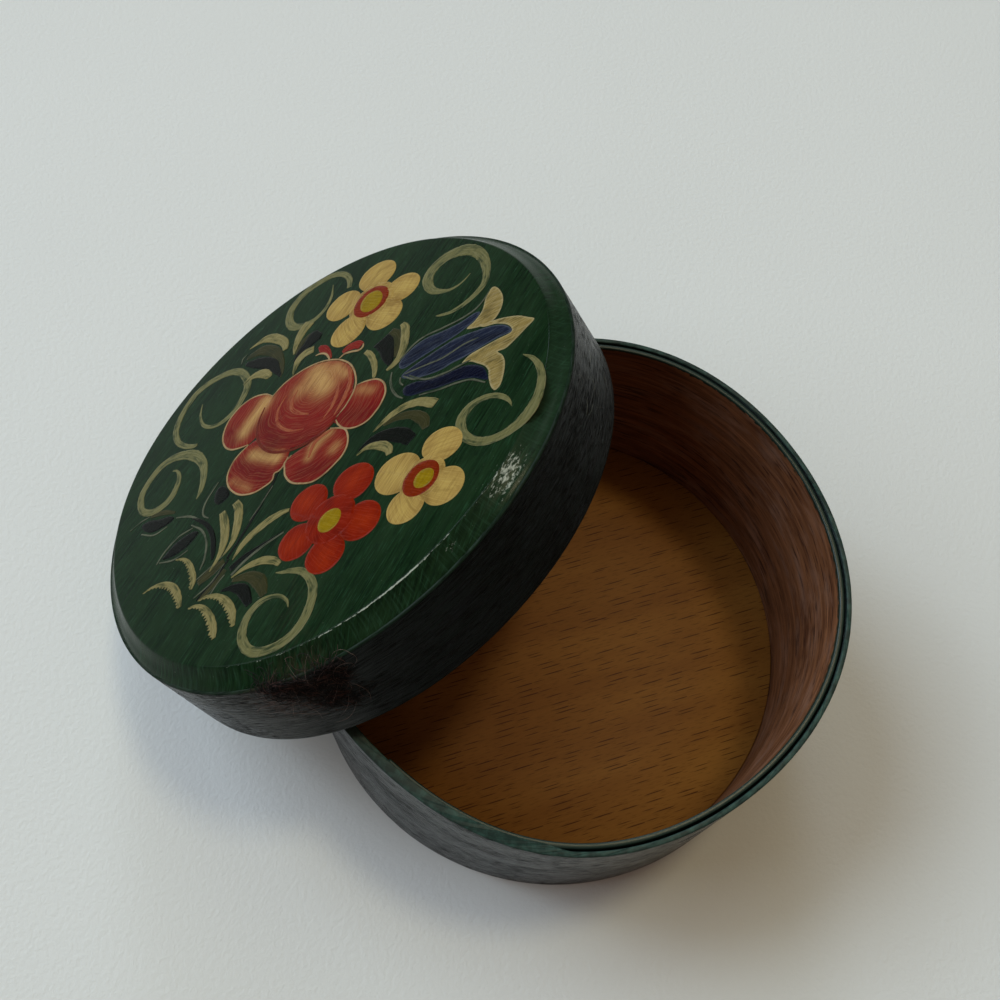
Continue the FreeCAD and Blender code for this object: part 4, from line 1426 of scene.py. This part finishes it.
class BENTWOOD_OT_rose(bpy.types.Operator):
    """Paints the rose with its highlights, outlines and sepals on the lid"""

    bl_idname = "bentwood.rose"
    bl_label = "Rose"

    def execute(self, context):
        paint = Painting()
        for outline in ROSE_PETALS:
            paint.shape(outline, 0.07, around(ROSE_BALL), ROSE_LIGHT, ROSE_DARK)
        x, y, rx, ry = ROSE_BALL
        paint.shape(ellipse(x, y, rx, ry, 0, 4), 0.09, around((-8, 9.5)), ROSE_LIGHT, ROSE_DARK, False)
        for points in SEPALS:
            paint.stroke(points, 0.07)
        paint.piece("rose_petals", "red_rose_paint")
        strokes("rose_dark_lines", "dark_red_line_paint", ROSE_DARK_LINES, 0.11)
        strokes("rose_arcs", "pale_rose_line_paint", ROSE_ARCS, 0.11)
        paint = Painting()
        for points in ROSE_OUTLINES:
            ends = (0, len(points) - 1)
            paint.stroke([(x, y, 0.25 if i in ends else 0.42) for i, (x, y) in enumerate(points)], 0.12)
        for points in SEPAL_LINES:
            paint.stroke(points, 0.11)
        paint.piece("rose_outlines", "cream_line_paint")
        return {"FINISHED"}


class BENTWOOD_OT_tulip(bpy.types.Operator):
    """Paints the blue and cream tulip on the lid"""

    bl_idname = "bentwood.tulip"
    bl_label = "Tulip"

    def execute(self, context):
        def along_the_lobes(x, y):
            return 0.77 * x + 0.64 * y, -0.64 * x + 0.77 * y

        for name, shapes, finish, height in (
            ("tulip_cream_tips", TULIP_CREAM, "cream_tip_paint", 0.07),
            ("tulip_blue_lobes", TULIP_BLUE, "blue_lobe_paint", 0.08),
            ("tulip_dark_lobe", TULIP_DARK, "dark_blue_lobe_paint", 0.085),
        ):
            paint = Painting()
            for outline in shapes:
                paint.shape(outline, height, along_the_lobes, (), TULIP_BLACK)
            paint.piece(name, finish)
        strokes("tulip_lines", "grey_line_paint", TULIP_LINES, 0.11)
        return {"FINISHED"}


# The stage

TABLE_HALF = 4000
CAMERA_PLACE = (0.00913215, -0.06664324, 0.22481405)
CAMERA_RIGHT = (0.88393495, 0.46431123, 0.05544449)
CAMERA_UP = (-0.44636057, 0.80247764, 0.39596954)
CAMERA_LENS = 38.03
# The room's light, weak at the horizon and stronger overhead, and the backdrop that only the camera sees.
ROOM_LOW, ROOM_HIGH, ROOM_TINT = 0.01, 0.22, (1.3, 0.92, 0.75, 1)
BACKDROP_LEVEL, BACKDROP_TINT = 0.62, (0.97, 1, 0.98, 1)
# Name, azimuth, elevation and width in degrees, and strength in red, green and blue.
LAMPS = (
    ("window", 172, 45, 30, (1.2, 1.45, 1.72)),
    ("low_window", 195, 28, 40, (1.06, 1.2, 1.34)),
    ("side_window", 120, 28, 14, (0.3, 0.35, 0.44)),
    ("back_window", 120, 52, 30, (0.32, 0.36, 0.32)),
    ("ceiling_lamp", 74, 72, 9, (0.5, 0.43, 0.27)),
)


class BENTWOOD_OT_stage(bpy.types.Operator):
    """Sets the pale table, the soft lamps and the camera"""

    bl_idname = "bentwood.stage"
    bl_label = "Stage"

    def execute(self, context):
        scene = context.scene
        verts = [(x * TABLE_HALF, y * TABLE_HALF, 0) for x, y in ((-1, -1), (1, -1), (1, 1), (-1, 1))]
        table = new_piece("table_top", verts, [(0, 1, 2, 3)], [material("table_laminate_matt")], from_box)
        right, up = Vector(CAMERA_RIGHT), Vector(CAMERA_UP)
        data = bpy.data.cameras.new("camera")
        data.sensor_width = 36
        data.lens = CAMERA_LENS
        data.clip_start = 0.01
        data.clip_end = 20
        camera = bpy.data.objects.new("camera", data)
        columns = (right, up, right.cross(up), CAMERA_PLACE)
        camera.matrix_world = Matrix([[c[i] for c in columns] for i in range(3)] + [[0, 0, 0, 1]])
        scene.collection.objects.link(camera)
        scene.camera = camera
        scene.world = bpy.data.worlds.new("room")
        scene.world.use_nodes = True
        sky = scene.world.node_tree
        background = sky.nodes["Background"]
        height = add(sky, "SeparateXYZ", i0=add(sky, "TexCoord").outputs["Generated"]).outputs[2]
        level = add(sky, "MapRange", i0=height, i1=0.05, i2=1, i3=ROOM_LOW, i4=ROOM_HIGH)
        seen = add(sky, "LightPath").outputs["Is Camera Ray"]
        level = add(sky, "Mix", i0=seen, i2=level, i3=BACKDROP_LEVEL)
        sky.links.new(level.outputs[0], background.inputs[1])
        tint = add(sky, "Mix", {"data_type": "RGBA"}, i0=seen, i6=ROOM_TINT, i7=BACKDROP_TINT)
        sky.links.new(tint.outputs[2], background.inputs[0])
        for name, azimuth, elevation, width, strength in LAMPS:
            lamp_data = bpy.data.lights.new(name, "SUN")
            lamp_data.angle = math.radians(width)
            lamp_data.energy = max(strength)
            lamp_data.color = [v / max(strength) for v in strength]
            lamp = bpy.data.objects.new(name, lamp_data)
            turn, rise = math.radians(azimuth), math.radians(elevation)
            way = Vector((math.cos(rise) * math.cos(turn), math.cos(rise) * math.sin(turn), math.sin(rise)))
            lamp.location = way
            lamp.rotation_mode = "QUATERNION"
            lamp.rotation_quaternion = way.to_track_quat("Z", "Y")
            scene.collection.objects.link(lamp)
        scene.view_settings.view_transform = "Standard"
        return {"FINISHED"}


class BENTWOOD_PT_panel(bpy.types.Panel):
    """Buttons that build the pieces of the box, and the settings they use"""

    bl_label = "Bentwood box"
    bl_idname = "BENTWOOD_PT_panel"
    bl_space_type = "VIEW_3D"
    bl_region_type = "UI"
    bl_category = "Bentwood box"

    def draw(self, context):
        for operator in OPERATORS:
            self.layout.operator(operator.bl_idname)
        for setting in BENTWOOD_PG_looks.__annotations__:
            self.layout.prop(context.scene.bentwood_looks, setting)


OPERATORS = (
    BENTWOOD_OT_stage,
    BENTWOOD_OT_box,
    BENTWOOD_OT_lid,
    BENTWOOD_OT_fibres,
    BENTWOOD_OT_scrolls,
    BENTWOOD_OT_leaves,
    BENTWOOD_OT_daisies,
    BENTWOOD_OT_rose,
    BENTWOOD_OT_tulip,
)
CLASSES = (BENTWOOD_PG_looks,) + OPERATORS + (BENTWOOD_PT_panel,)


def register():
    for cls in CLASSES:
        bpy.utils.register_class(cls)
    bpy.types.Scene.bentwood_looks = PointerProperty(type=BENTWOOD_PG_looks)


def unregister():
    del bpy.types.Scene.bentwood_looks
    for cls in reversed(CLASSES):
        bpy.utils.unregister_class(cls)


def main():
    register()
    for name in ("Camera", "Cube", "Light"):
        if name in bpy.data.objects:
            bpy.data.objects.remove(bpy.data.objects[name])
    for operator in OPERATORS:
        group, call = operator.bl_idname.split(".")
        getattr(getattr(bpy.ops, group), call)()


if __name__ == "__main__":
    main()
